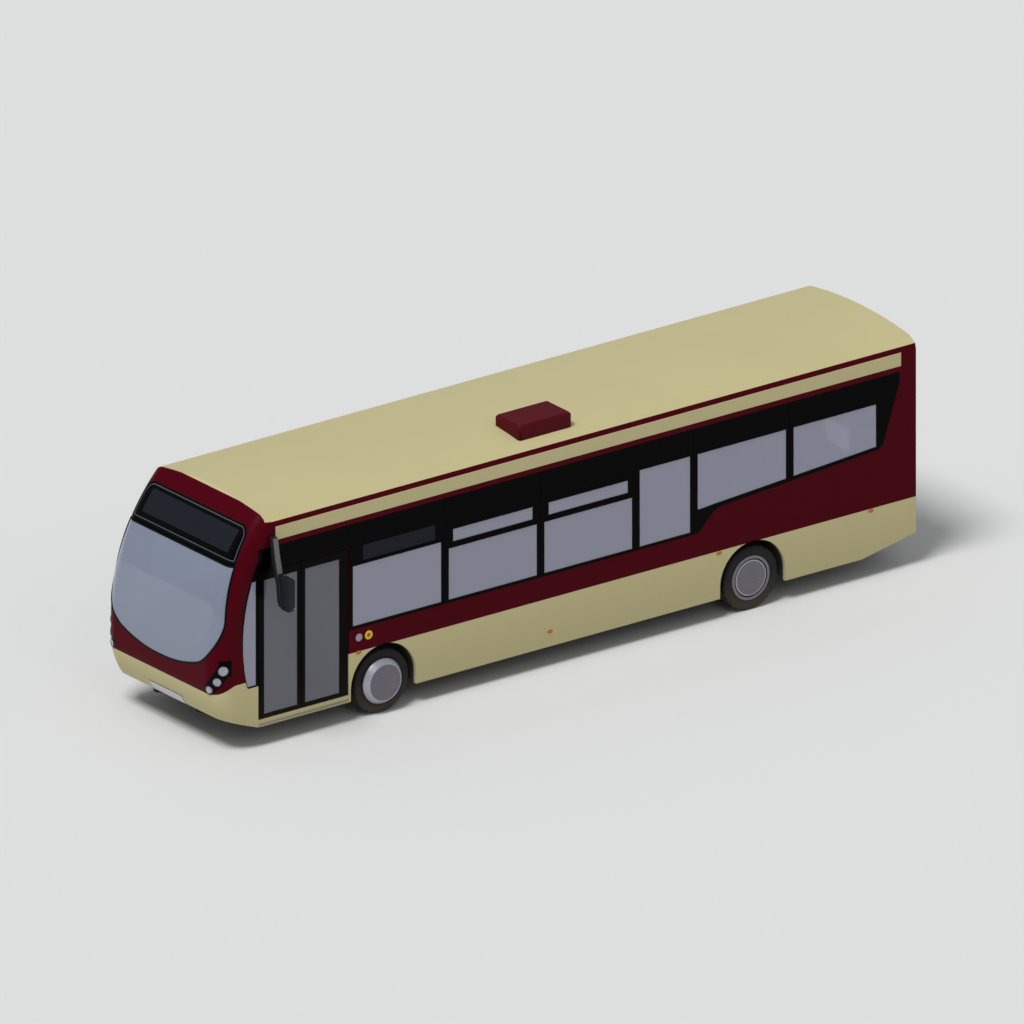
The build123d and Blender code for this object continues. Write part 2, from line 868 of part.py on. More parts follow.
# Chassis frame: two long rails, low under the saloon and high behind the rear axle
rail_x = 430
rail_width = 70
rail_low_z = 240
rail_front_y = front_y + 680
rail_clearance = 10
rail_post_y = step_start_y + step_tread + floor_thickness + rail_clearance
rail_post = 70
rail_high_z = rear_floor_z - floor_thickness
rail_height = underfloor_z - rail_low_z
rail_rear_y = rear_y - 100
member_width = 50
member_drop = 60
member_pitch = 850
arm_mount_y = front_axle_y + 665
last_low_member = step_start_y - 70
member_count = int((last_low_member - arm_mount_y) / member_pitch)
low_members = [front_y + 720, front_y + 1380, front_y + 2020]
low_members += [arm_mount_y + count * member_pitch for count in range(member_count + 1)]
low_members += [last_low_member]
high_members = (rear_y - 3290, rear_y - 1940, rear_y - 1530, rear_y - 280)
engine_bearers = (rear_y - 1330, rear_y - 530)
bearer_z = 300
bearer_thickness = 40
pad_places = (low_members[2], low_members[-1])
pad_half = 60
pad_thickness = 15
lug_thickness = 30
lug_round = 42
eye_radius = 20
front_eye = (front_y + 270, 392)
rear_eye = (rear_y - 140, 400)
front_lug = [
    (rail_front_y, rail_low_z),
    (rail_front_y, underfloor_z),
    (floor_front_y - 2 * floor_thickness, underfloor_z),
    (front_eye[0] + lug_round / 2, front_eye[1] + lug_round * 0.8),
    (front_eye[0], front_eye[1] - lug_round),
    (floor_front_y - 2 * floor_thickness, rail_low_z),
]
rear_lug = [
    (rail_rear_y - 2 * lug_round, rail_high_z - rail_height),
    (rail_rear_y, rail_high_z - rail_height),
    (rear_eye[0] + lug_round * 0.95, rear_eye[1]),
    (rear_eye[0] - lug_round * 0.95, rear_eye[1]),
]
with BuildPart() as chassis_frame:
    for side in (-1, 1):
        rail = (side * rail_x - rail_width / 2, side * rail_x + rail_width / 2)
        block(rail, (rail_front_y, rail_post_y + rail_post), (rail_low_z, underfloor_z))
        block(rail, (rail_post_y, rail_post_y + rail_post), (rail_low_z, rail_high_z))
        block(rail, (rail_post_y, rail_rear_y), (rail_high_z - rail_height, rail_high_z))
        for y in engine_bearers:
            block(rail, (y - member_width / 2, y + member_width / 2), (bearer_z, rail_high_z))
    for y in low_members:
        block(
            (-floor_half_width, floor_half_width),
            (y - member_width / 2, y + member_width / 2),
            (underfloor_z - member_drop, underfloor_z),
        )
    for y in high_members:
        block(
            (-floor_half_width, floor_half_width),
            (y - member_width / 2, y + member_width / 2),
            (rail_high_z - member_drop, rail_high_z),
        )
    for y in engine_bearers:
        block(
            (-rail_x, rail_x),
            (y - member_width / 2, y + member_width / 2),
            (bearer_z, bearer_z + bearer_thickness),
        )
    for side in (-1, 1):
        pad = (side * rail_x - pad_half, side * rail_x + pad_half)
        for y in pad_places:
            block(pad, (y - pad_half, y + pad_half), (rail_low_z - pad_thickness, rail_low_z))
        for outline, eye in ((front_lug, front_eye), (rear_lug, rear_eye)):
            with BuildSketch(Plane.YZ.offset(side * rail_x - lug_thickness / 2)) as lug:
                with BuildLine():
                    Polyline(*outline, close=True)
                make_face()
                with Locations(eye):
                    Circle(lug_round)
                    Circle(eye_radius, mode=Mode.SUBTRACT)
            extrude(lug.sketch, amount=lug_thickness)
save(chassis_frame.part, "chassis_frame")

# Engine: one plain block on two bearers behind the rear axle
engine_half = 380
engine_front_y = rear_y - 1430
engine_rear_y = rear_y - 430
engine_top_gap = 5
with BuildPart() as engine_block:
    block(
        (-engine_half, engine_half),
        (engine_front_y, engine_rear_y),
        (bearer_z + bearer_thickness, rail_high_z - engine_top_gap),
    )
    for y in high_members:
        block(
            (-cut_reach, cut_reach),
            (y - member_width, y + member_width),
            (rail_high_z - 2 * member_drop, rail_high_z),
            Mode.SUBTRACT,
        )
save(engine_block.part, "engine_block")

# Front axle: a forged beam that drops between the wheels, with a kingpin boss at each end
kingpin_inset = 245
kingpin_x = half_width - kingpin_inset
kingpin_radius = 20
boss_radius = 42
boss_half = 75
beam_half_width = 45
beam_low_z = 150
beam_depth = 80
beam_drop_x = kingpin_x - 185
beam_end_x = kingpin_x - 80
beam_end_low_z = 362
beam_end_top_z = 440
beam_top_inset = 10
beam_drop_inset = 45
radius_arm_x = 350
radius_arm_thickness = 22


def beam_outline():
    """Half of the dropped beam in front view, mirrored about the middle."""
    with BuildSketch() as outline:
        with BuildLine():
            Polyline(
                (0, beam_low_z),
                (beam_drop_x, beam_low_z),
                (beam_end_x, beam_end_low_z),
                (kingpin_x, beam_end_low_z),
                (kingpin_x, beam_end_top_z),
                (beam_end_x - beam_top_inset, beam_end_top_z),
                (beam_drop_x - beam_drop_inset, beam_low_z + beam_depth),
                (0, beam_low_z + beam_depth),
            )
            mirror(about=Plane.YZ)
        make_face()
    return outline.sketch


with BuildPart() as front_axle:
    with BuildSketch(Plane.XZ.offset(-front_axle_y)):
        add(beam_outline())
    extrude(amount=beam_half_width, both=True)
    for side in (-1, 1):
        with Locations((side * kingpin_x, front_axle_y, axle_z)):
            Cylinder(boss_radius, 2 * boss_half)
            Cylinder(kingpin_radius, 3 * boss_half, mode=Mode.SUBTRACT)
        arm_x = (side * radius_arm_x - member_width / 2, side * radius_arm_x + member_width / 2)
        arm_rear_y = arm_mount_y + member_width / 2
        block(arm_x, (front_axle_y, arm_rear_y), (beam_low_z, beam_low_z + radius_arm_thickness))
        block(arm_x, (arm_rear_y - member_width, arm_rear_y), (beam_low_z, underfloor_z - member_drop))
save(front_axle.part, "front_axle")

# Steering knuckles: a yoke round each kingpin boss, a wheel spindle and a steering arm
yoke_gap = 6
yoke_thickness = 28
yoke_half = 38
yoke_inner = 52
yoke_outer = 76
spindle_radius = 38
spindle_inset = 70
spindle_end_x = half_width - spindle_inset
steer_arm = 150
steer_arm_half = 20
rod_eye_radius = 20
rod_pin_radius = 8
rod_radius = 9
rod_clearance = 4
rod_pin_proud = 6
boss_low_z = axle_z - boss_half
boss_top_z = axle_z + boss_half
arm_low_z = boss_low_z - yoke_gap - yoke_thickness
arm_top_z = boss_low_z - yoke_gap
rod_pivot_y = front_axle_y + steer_arm
rod_end_z = arm_top_z + rod_clearance + rod_radius

for side, name in ((1, "knuckle_left"), (-1, "knuckle_right")):
    with BuildPart() as knuckle:
        yoke_x = (side * (kingpin_x - yoke_half), side * (kingpin_x + yoke_outer))
        yoke_y = (front_axle_y - yoke_half, front_axle_y + yoke_half)
        block(yoke_x, yoke_y, (arm_low_z, arm_top_z))
        block(yoke_x, yoke_y, (boss_top_z + yoke_gap, boss_top_z + yoke_gap + yoke_thickness))
        block(
            (side * (kingpin_x + yoke_inner), side * (kingpin_x + yoke_outer)),
            yoke_y,
            (arm_low_z, boss_top_z + yoke_gap + yoke_thickness),
        )
        rod(
            (side * kingpin_x, front_axle_y, arm_low_z),
            (side * kingpin_x, front_axle_y, boss_top_z + yoke_gap + yoke_thickness),
            kingpin_radius - pin_gap,
        )
        rod(
            (side * (kingpin_x + yoke_inner), front_axle_y, axle_z),
            (side * spindle_end_x, front_axle_y, axle_z),
            spindle_radius,
        )
        block(
            (side * kingpin_x - steer_arm_half, side * kingpin_x + steer_arm_half),
            (front_axle_y, rod_pivot_y + steer_arm_half),
            (arm_low_z, arm_top_z),
        )
        rod(
            (side * kingpin_x, rod_pivot_y, arm_low_z),
            (side * kingpin_x, rod_pivot_y, arm_top_z + 2 * rod_radius + rod_pin_proud),
            rod_pin_radius,
        )
    save(knuckle.part, name)

# Track rod: cranked so that it passes under the frame between the wheels
crank_outer_x = kingpin_x - 90
crank_inner_x = kingpin_x - 230
rod_bend = 2
rod_low_z = 189
with BuildPart() as track_rod:
    path = [
        (-kingpin_x + rod_eye_radius / 2, rod_end_z),
        (-crank_outer_x, rod_end_z),
        (-crank_inner_x, rod_low_z),
        (crank_inner_x, rod_low_z),
        (crank_outer_x, rod_end_z),
        (kingpin_x - rod_eye_radius / 2, rod_end_z),
    ]
    points = [(x, rod_pivot_y, z) for x, z in path]
    for start, end in zip(points, points[1:]):
        rod(start, end, rod_radius)
    for point in points[1:-1]:
        with Locations(point):
            Sphere(rod_radius + rod_bend)
    for side in (-1, 1):
        with Locations((side * kingpin_x, rod_pivot_y, rod_end_z)):
            Cylinder(rod_eye_radius, 2 * (rod_radius + rod_bend))
            Cylinder(rod_pin_radius + pin_gap, 4 * rod_radius, mode=Mode.SUBTRACT)
save(track_rod.part, "track_rod")

# Rear axle: a tube with a round final drive, spindles and saddles for the air springs
axle_tube_radius = 70
drive_radius = 165
drive_width = 210
rear_spindle_radius = 48
tube_end_x = 590
saddle_x = 430
saddle_half = 30
saddle_low_z = 330
saddle_top_z = 400
spring_reach = 350
spring_radius = 85
spring_waist = 62
with BuildPart() as rear_axle:
    rod((-tube_end_x, rear_axle_y, axle_z), (tube_end_x, rear_axle_y, axle_z), axle_tube_radius)
    rod(
        (-spindle_end_x, rear_axle_y, axle_z),
        (spindle_end_x, rear_axle_y, axle_z),
        rear_spindle_radius,
    )
    with BuildSketch(Plane.YZ):
        with Locations((rear_axle_y, axle_z)):
            Circle(drive_radius)
    extrude(amount=drive_width / 2, both=True)
    fillet(
        rear_axle.edges().filter_by(GeomType.CIRCLE).filter_by(lambda e: abs(e.radius - drive_radius) < 1),
        radius=drive_width / 4,
    )
    for side in (-1, 1):
        block(
            (side * saddle_x - saddle_half, side * saddle_x + saddle_half),
            (rear_axle_y - spring_reach - saddle_half, rear_axle_y + spring_reach + saddle_half),
            (saddle_low_z, saddle_top_z),
        )
save(rear_axle.part, "rear_axle")

with BuildPart() as air_springs:
    spring_top_z = rail_high_z - rail_height
    lobe = (spring_top_z - saddle_top_z) / 2
    for side in (-1, 1):
        for end in (-1, 1):
            centre = (side * saddle_x, rear_axle_y + end * spring_reach)
            bellows_plane = Plane(origin=(*centre, 0), x_dir=(1, 0, 0), z_dir=(0, -1, 0))
            with BuildSketch(bellows_plane) as bellows:
                with BuildLine():
                    Polyline(
                        (spring_waist, saddle_top_z),
                        (0, saddle_top_z),
                        (0, spring_top_z),
                        (spring_waist, spring_top_z),
                    )
                    ThreePointArc(
                        (spring_waist, spring_top_z),
                        (spring_radius, spring_top_z - lobe / 2),
                        (spring_waist, spring_top_z - lobe),
                    )
                    ThreePointArc(
                        (spring_waist, spring_top_z - lobe),
                        (spring_radius, saddle_top_z + lobe / 2),
                        (spring_waist, saddle_top_z),
                    )
                make_face()
            revolve(bellows.sketch, axis=Axis((*centre, 0), (0, 0, 1)))
save(air_springs.part, "air_springs")

# Wheels: tyres on steel rims, single at the front and twin at the rear
bead_step = 14
bead_top = 300
bulge_low = 340
bulge_top = 385
shoulder_point = (10, 422)
shoulder_reach = 34
flange_low = 262
flange_edge = 4
barrel_radius = 272
bore_gap = 0.3
tyre_outer_x = half_width - tyre_inset
twin_outer_x = tyre_outer_x - tyre_width - twin_gap
front_hub = (tyre_outer_x - 125, tyre_outer_x - 37)
front_hub_radius = 95
front_disc = (tyre_outer_x - 90, tyre_outer_x - 78)
cover_base_radius = 304
cover_cap_radius = 254
cover_cap_x = tyre_outer_x + 75
cover_thickness = 6
rear_hub = (tyre_outer_x - 525, spindle_end_x)
rear_hub_radius = 100
disc_radius = 280
rear_cover_radius = 238
rear_cover_x = tyre_outer_x - 7
rear_cover_root_x = tyre_outer_x - 65


def wheel_plane(axle_y):
    """A plane through an axle, with X outward and the wheel's radius upward."""
    return Plane(origin=(0, axle_y, axle_z), x_dir=(1, 0, 0), z_dir=(0, -1, 0))


def tyre(side, outer_x, axle_y):
    """One tyre: flat tread, rounded shoulders and walls that draw in to the bead."""
    inner_x = outer_x - tyre_width
    with BuildSketch(wheel_plane(axle_y)) as section:
        with BuildLine():
            for edge, inward in ((inner_x, 1), (outer_x, -1)):
                foot = edge + inward * bead_step
                Polyline(
                    (side * foot, rim_radius),
                    (side * foot, bead_top),
                    (side * edge, bulge_low),
                    (side * edge, bulge_top),
                )
                ThreePointArc(
                    (side * edge, bulge_top),
                    (side * (edge + inward * shoulder_point[0]), shoulder_point[1]),
                    (side * (edge + inward * shoulder_reach), tyre_radius),
                )
            Line(
                (side * (inner_x + shoulder_reach), tyre_radius),
                (side * (outer_x - shoulder_reach), tyre_radius),
            )
            Line((side * (inner_x + bead_step), rim_radius), (side * (outer_x - bead_step), rim_radius))
        make_face()
    revolve(section.sketch, axis=Axis((0, axle_y, axle_z), (1, 0, 0)))


def ring_section(side, x_range, r_range):
    """A rectangle of a wheel's section between two widths and two radii."""
    centre = (side * (x_range[0] + x_range[1]) / 2, (r_range[0] + r_range[1]) / 2)
    with Locations(centre):
        Rectangle(x_range[1] - x_range[0], r_range[1] - r_range[0])


def barrel_rows(outer_x):
    """Widths and radii of a rim's barrel and of its two flanges."""
    inner_x = outer_x - tyre_width
    return [
        ((inner_x + flange_edge, outer_x - flange_edge), (barrel_radius, rim_radius)),
        ((inner_x + flange_edge, inner_x + bead_step), (flange_low, flange_radius)),
        ((outer_x - bead_step, outer_x - flange_edge), (flange_low, flange_radius)),
    ]


for side, name in ((1, "left"), (-1, "right")):
    with BuildPart() as front_tyre:
        tyre(side, tyre_outer_x, front_axle_y)
    save(front_tyre.part, f"front_tyre_{name}")

    with BuildPart() as rear_tyres:
        tyre(side, tyre_outer_x, rear_axle_y)
        tyre(side, twin_outer_x, rear_axle_y)
    save(rear_tyres.part, f"rear_tyres_{name}")

    base_x = tyre_outer_x - flange_edge
    front_rows = [
        *barrel_rows(tyre_outer_x),
        (front_disc, (front_hub_radius / 2, disc_radius)),
        (front_hub, (spindle_radius + bore_gap, front_hub_radius)),
    ]
    cover = [
        (base_x, barrel_radius),
        (base_x, cover_base_radius),
        (cover_cap_x, cover_cap_radius),
        (cover_cap_x, 0),
        (cover_cap_x - cover_thickness, 0),
        (cover_cap_x - cover_thickness, cover_cap_radius - cover_thickness),
        (base_x + cover_thickness, cover_base_radius - 2 * cover_thickness),
        (base_x + cover_thickness, barrel_radius),
    ]
    with BuildPart() as front_rim:
        with BuildSketch(wheel_plane(front_axle_y)) as section:
            for x_range, r_range in front_rows:
                ring_section(side, x_range, r_range)
            with BuildLine():
                Polyline(*[(side * x, radius) for x, radius in cover], close=True)
            make_face()
        revolve(axis=Axis((0, front_axle_y, axle_z), (1, 0, 0)))
    save(front_rim.part, f"front_rim_{name}")

    hub_disc = (twin_outer_x - flange_edge, tyre_outer_x - tyre_width + flange_edge)
    rear_rows = [
        *barrel_rows(tyre_outer_x),
        *barrel_rows(twin_outer_x),
        (hub_disc, (rear_hub_radius / 2, disc_radius)),
        (rear_hub, (rear_spindle_radius + bore_gap, rear_hub_radius)),
    ]
    dish = [
        (rear_cover_root_x, barrel_radius + cover_thickness),
        (rear_cover_x, rear_cover_radius),
        (rear_cover_x, 0),
        (rear_cover_x - cover_thickness, 0),
        (rear_cover_x - cover_thickness, rear_cover_radius - cover_thickness),
        (rear_cover_root_x - cover_thickness, barrel_radius),
        (rear_cover_root_x - cover_thickness, barrel_radius + cover_thickness),
    ]
    with BuildPart() as rear_rims:
        with BuildSketch(wheel_plane(rear_axle_y)) as section:
            for x_range, r_range in rear_rows:
                ring_section(side, x_range, r_range)
            with BuildLine():
                Polyline(*[(side * x, radius) for x, radius in dish], close=True)
            make_face()
        revolve(axis=Axis((0, rear_axle_y, axle_z), (1, 0, 0)))
    save(rear_rims.part, f"rear_rims_{name}")

# Entrance door: two glazed leaves that swing inward about their outer edges
leaf_outer_x = half_width - leaf_inset
leaf_inner_x = leaf_outer_x - leaf_thickness
door_glass_inset = 6
door_glass_x = leaf_outer_x - door_glass_inset
door_split_y = front_y + 1357
leaf_gap = 8
leaf_columns = ("name", "start", "end", "front_border", "rear_border")
leaf_rows = [
    ("front", door_front_y + door_gap, door_split_y - leaf_gap / 2, 82, 52),
    ("rear", door_split_y + leaf_gap / 2, door_rear_y - door_gap, 58, 130),
]
leaves = [dict(zip(leaf_columns, row)) for row in leaf_rows]
for leaf in leaves:
    clear = (leaf["start"] + leaf["front_border"], leaf["end"] - leaf["rear_border"])
    clear_z = (door_glass_low_z, door_glass_top_z)
    with BuildPart() as door_leaf:
        block(
            (leaf_inner_x, leaf_outer_x),
            (leaf["start"], leaf["end"]),
            (door_low_z + door_gap, door_top_z - door_gap),
        )
        block((leaf_inner_x - wall, leaf_outer_x + wall), clear, clear_z, Mode.SUBTRACT)
        for y in pivot_places:
            for edge_z, way in ((door_low_z, 1), (door_top_z, -1)):
                tip_z = edge_z + way * (2 * door_gap + pivot_depth)
                rod((pivot_x, y, edge_z), (pivot_x, y, tip_z), pivot_radius + pin_gap, Mode.SUBTRACT)
    save(door_leaf.part, f"door_leaf_{leaf['name']}")
    with BuildPart() as door_pane:
        block((door_glass_x - screen_pane, door_glass_x), clear, clear_z)
    save(door_pane.part, f"door_glass_{leaf['name']}")

# Dashboard: a shelf across the front with the driver's console on its right
dash_rear_y = front_y + 450
dash_top_z = 1040
console_rear_y = front_y + 620
console_x = (140 - half_width, -330)
dash_outline = [
    (front_y, platform_z),
    (dash_rear_y, platform_z),
    (dash_rear_y, dash_top_z - wall),
    (dash_rear_y - 2 * wall, dash_top_z),
    (front_y, dash_top_z),
]
console_outline = [
    (dash_rear_y - 2 * wall, platform_z),
    (console_rear_y, platform_z),
    (console_rear_y, dash_top_z - wall),
    (dash_rear_y - 2 * wall, dash_top_z + wall),
]


def strip(x_range, outline, mode=Mode.ADD):
    """A side-view outline carried between two places across the bus."""
    with BuildSketch(Plane.YZ.offset(min(x_range))) as profile:
        with BuildLine():
            Polyline(*outline, close=True)
        make_face()
    extrude(profile.sketch, amount=abs(x_range[1] - x_range[0]), mode=mode)


with BuildPart() as dashboard:
    strip((-half_width, half_width), dash_outline)
    strip(console_x, console_outline)
    add(inside, mode=Mode.INTERSECT)
save(dashboard.part, "dashboard")

# Steering wheel on a leaning column
wheel_hand_radius = 225
wheel_grip = 15
hand_tilt = 30
hand_centre = Vector(-700, front_y + 780, 1190)
hand_axis = Vector(0, math.sin(math.radians(hand_tilt)), math.cos(math.radians(hand_tilt)))
hand_plane = Plane(origin=hand_centre, x_dir=(1, 0, 0), z_dir=hand_axis)
column_length = 400
column_radius = 28
spoke_radius = 10
with BuildPart() as steering_wheel:
    with Locations(hand_plane):
        Torus(wheel_hand_radius, wheel_grip)
        Cylinder(2 * column_radius, 2 * wheel_grip)
    for turn in (90, 210, 330):
        tip = hand_plane.from_local_coords(
            (
                wheel_hand_radius * math.cos(math.radians(turn)),
                wheel_hand_radius * math.sin(math.radians(turn)),
                0,
            )
        )
        rod(hand_centre, tip, spoke_radius)
    rod(hand_centre, hand_centre - hand_axis * column_length, column_radius)
    add(dashboard.part, mode=Mode.SUBTRACT)
save(steering_wheel.part, "steering_wheel")

# Cab partition: a glazed frame behind the driver and a low side panel ahead of the cab door
partition_y = (front_y + 1890, front_y + 1920)
partition_low_top_z = 1300
partition_top_z = 2200
cab_panel_x = (-215, -185)
cab_panel_y = (floor_front_y, front_y + 1218)
cab_door_y = (front_y + 1230, front_y + 1875)
cab_door_z = (540, 1250)
frame_width = 40
cab_tail = 17
cab_hinge_x = (cab_panel_x[0] + cab_panel_x[1]) / 2
cab_hinge_y = cab_door_y[1] - cab_tail
with BuildPart() as cab_partition:
    block((-floor_half_width, cab_panel_x[1]), partition_y, (platform_z, partition_top_z))
    block(
        (-floor_half_width + frame_width, cab_panel_x[1] - frame_width),
        (partition_y[0] - wall, partition_y[1] + wall),
        (partition_low_top_z, partition_top_z - frame_width),
        Mode.SUBTRACT,
    )
    block(cab_panel_x, cab_panel_y, (platform_z, cab_door_z[1]))
    for edge_z, outer_z, way in (
        (cab_door_z[0], platform_z, 1),
        (cab_door_z[1], cab_door_z[1] + 2 * door_gap, -1),
    ):
        knuckle_z = sorted((outer_z, edge_z - way * yoke_gap))
        block(cab_panel_x, (cab_hinge_y - cab_tail, partition_y[0]), knuckle_z)
        rod(
            (cab_hinge_x, cab_hinge_y, outer_z),
            (cab_hinge_x, cab_hinge_y, edge_z + way * pivot_depth),
            hinge_pin_radius,
        )
save(cab_partition.part, "cab_partition")

# Cab door: a low door to the driver's place, hinged on its rear edge
with BuildPart() as cab_door:
    block(cab_panel_x, cab_door_y, cab_door_z)
    for edge_z, way in ((cab_door_z[0], 1), (cab_door_z[1], -1)):
        rod(
            (cab_hinge_x, cab_hinge_y, edge_z - way),
            (cab_hinge_x, cab_hinge_y, edge_z + way * (pivot_depth + door_gap)),
            hinge_pin_radius + pin_gap,
            Mode.SUBTRACT,
        )
save(cab_door.part, "cab_door")

# Seats: double seats on each side, carried by one leg and the side wall. Each row gives the place
# of the back's rear face and the height of the floor under it.
seat_pitch = 750
seat_start_y = front_axle_y + 1115
seat_step_gap = 500
seat_count = 1 + int((step_start_y - seat_step_gap - seat_start_y) / seat_pitch)
seat_columns = ("y", "floor")
seat_rows = [(seat_start_y + count * seat_pitch, floor_z) for count in range(seat_count)]
seat_rows += [(rear_y - back, rear_floor_z) for back in (2630, 1880, 1130, 330)]
seats = [dict(zip(seat_columns, row)) for row in seat_rows]
seat_rise = 400
seat_depth = 480
seat_inner_x = 290
seat_between = 10
seat_wall_gap = 20
seat_width = (floor_half_width - seat_wall_gap - seat_inner_x - seat_between) / 2
beam_place = 0.6
seat_shell = 22
pad_height = 70
back_pad = 55
back_top = 720
back_lean = 60
leg_x = (300, 340)
beam = 60
driver_seat_x = (-940, -460)
driver_y = front_y + 1630
driver_rise = 300
driver_leg_x = (-820, -580)
driver_leg_y = (driver_y - 384, driver_y - 144)


def back_outline(y, base, start, thickness, low, high):
    """A leaning slab of a seat back in side view, set forward from the back's rear face."""

    def rear_face(z):
        """Place of the back's rear face at a height above the seat."""
        return y - back_lean * (1 - z / back_top)

    return [
        (rear_face(low) - start, base + low),
        (rear_face(high) - start, base + high),
        (rear_face(high) - start - thickness, base + high),
        (rear_face(low) - start - thickness, base + low),
    ]


def shells(x_range, y, base):
    """The moulded shell under and behind the pads of one seat."""
    strip(x_range, rectangle((y - seat_depth, y - back_lean), (base, base + seat_shell)))
    strip(x_range, back_outline(y, base, 0, seat_shell, 0, back_top))


with BuildPart() as seat_frames:
    for side in (-1, 1):
        for seat in seats:
            base = seat["floor"] + seat_rise
            middle = seat["y"] - seat_depth * beam_place
            beam_y = (middle - beam / 2, middle + beam / 2)
            inner = side * seat_inner_x
            outer = side * (seat_inner_x + 2 * seat_width + seat_between)
            block((side * leg_x[0], side * leg_x[1]), beam_y, (seat["floor"], base))
            block((side * leg_x[0], side * floor_half_width), beam_y, (base - beam, base))
            shells((inner, outer), seat["y"], base)
    driver_base = platform_z + driver_rise
    block(driver_leg_x, driver_leg_y, (platform_z, driver_base))
    shells(driver_seat_x, driver_y, driver_base)
save(seat_frames.part, "seat_frames")


def cushions(x_range, y, base):
    """The seat and back pads of one place."""
    low = base + seat_shell
    strip(
        x_range,
        rectangle((y - seat_depth, y - back_lean - seat_shell - back_pad), (low, low + pad_height)),
    )
    strip(
        x_range,
        back_outline(y, base, seat_shell, back_pad, seat_shell + pad_height, back_top - seat_shell),
    )


with BuildPart() as seat_cushions:
    for side in (-1, 1):
        for seat in seats:
            for place in range(2):
                near = seat_inner_x + place * (seat_width + seat_between)
                place_x = (side * near, side * (near + seat_width))
                cushions(place_x, seat["y"], seat["floor"] + seat_rise)
    cushions(driver_seat_x, driver_y, driver_base)
save(seat_cushions.part, "seat_cushions")

# Handrails: upright poles from floor to roof, joined by a rail on each side of the gangway
pole_x = 262
pole_radius = 17
rail_z = 2300
pole_behind_seat = 270
low_poles = [front_axle_y - 285, front_axle_y + 585]
low_poles += [seats[row]["y"] + pole_behind_seat for row in range(1, seat_count, 2)]
low_poles += [step_start_y - 50]
high_poles = [rear_y - 2250, rear_y - 1500, rear_y - 750]
pole_places = [(y, floor_z) for y in low_poles] + [(y, rear_floor_z) for y in high_poles]
with BuildPart() as handrails:
    for side in (-1, 1):
        for y, foot_z in pole_places:
            rod((side * pole_x, y, foot_z), (side * pole_x, y, roof_z), pole_radius)
        rod(
            (side * pole_x, pole_places[0][0], rail_z),
            (side * pole_x, pole_places[-1][0], rail_z),
            pole_radius,
        )
    add(inside, mode=Mode.INTERSECT)
save(handrails.part, "handrails")

# Mirrors: tall heads hung ahead of the door and the driver's window on bent arms
mirror_y = front_y + 880
mirror_drop = 127
mirror_z = cant_z - mirror_drop
mirror_bends = [(0, 0, 0), (160, -60, -35), (300, 0, -215), (300, 40, -485)]
mirror_arm_radius = 16
mirror_head_drop = 472
mirror_head_height = 469
mirror_head_half = 115
mirror_head_y = (mirror_y - 10, mirror_y + 90)
mirror_head_x = half_width + mirror_bends[-1][0]
mirror_head_top_z = mirror_z - mirror_head_drop
mirror_foot = 12
with BuildPart() as mirrors:
    for side in (-1, 1):
        points = [
            (side * (half_width + out), mirror_y + back, mirror_z + up)
            for out, back, up in mirror_bends
        ]
        for start, end in zip(points, points[1:]):
            rod(start, end, mirror_arm_radius)
        for point in points[1:-1]:
            with Locations(point):
                Sphere(mirror_arm_radius)
        block(
            (side * half_width, side * (half_width + mirror_foot)),
            (mirror_y - wall, mirror_y + wall),
            (mirror_z - wall, mirror_z + wall),
        )
        block(
            (side * (mirror_head_x - mirror_head_half), side * (mirror_head_x + mirror_head_half)),
            mirror_head_y,
            (mirror_head_top_z - mirror_head_height, mirror_head_top_z),
        )
    add(outside, mode=Mode.SUBTRACT)
save(mirrors.part, "mirrors")
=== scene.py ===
import math

import bpy
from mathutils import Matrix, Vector


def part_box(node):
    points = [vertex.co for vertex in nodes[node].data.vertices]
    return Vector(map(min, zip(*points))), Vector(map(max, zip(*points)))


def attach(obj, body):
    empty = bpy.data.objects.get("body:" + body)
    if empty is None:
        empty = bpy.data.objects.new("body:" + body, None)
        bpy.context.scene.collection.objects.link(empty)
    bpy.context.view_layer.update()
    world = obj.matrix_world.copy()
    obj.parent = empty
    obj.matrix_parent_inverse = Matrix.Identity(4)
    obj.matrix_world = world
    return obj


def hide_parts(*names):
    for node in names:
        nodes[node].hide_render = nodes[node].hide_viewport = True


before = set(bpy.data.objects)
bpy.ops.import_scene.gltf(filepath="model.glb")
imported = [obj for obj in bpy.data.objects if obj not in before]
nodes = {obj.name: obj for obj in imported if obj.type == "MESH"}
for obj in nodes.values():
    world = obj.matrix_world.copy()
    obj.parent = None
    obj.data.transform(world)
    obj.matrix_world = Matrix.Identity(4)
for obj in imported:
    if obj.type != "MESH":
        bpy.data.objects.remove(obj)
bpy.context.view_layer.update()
bpy.ops.object.select_all(action="DESELECT")

# Studio
# A pale floor that runs out of sight, an even pale sky and two soft lamps, with the bus seen from
# above its entrance side in parallel projection, as in the photograph.
view_azimuth = math.radians(53.0)
view_elevation = math.radians(21.7)
view_centre = Vector((0.019, 0.025, 1.681))
view_width = 13.045
view_distance = 90
view_reach = 400
view_back = Vector((math.sin(view_azimuth), -math.cos(view_azimuth), math.tan(view_elevation))).normalized()
floor_size = 240
floor_tone = (226, 226, 224)
sky_tone = (232, 236, 242)
ground_glow = (1.95, 1.97, 1.95, 1.0)
sky_strength = 0.38
sun_columns = ("turn", "energy", "spread")
sun_rows = [((26, 8, 0), 2.2, 20), ((55, 0, 75), 0.15, 25)]
bpy.ops.object.camera_add(location=view_centre + view_back * view_distance)
camera = bpy.context.object
camera.rotation_euler = view_back.to_track_quat("Z", "Y").to_euler()
camera.data.type = "ORTHO"
camera.data.ortho_scale = view_width
camera.data.clip_end = view_reach
bpy.context.scene.camera = camera
bpy.context.scene.view_settings.view_transform = "Standard"


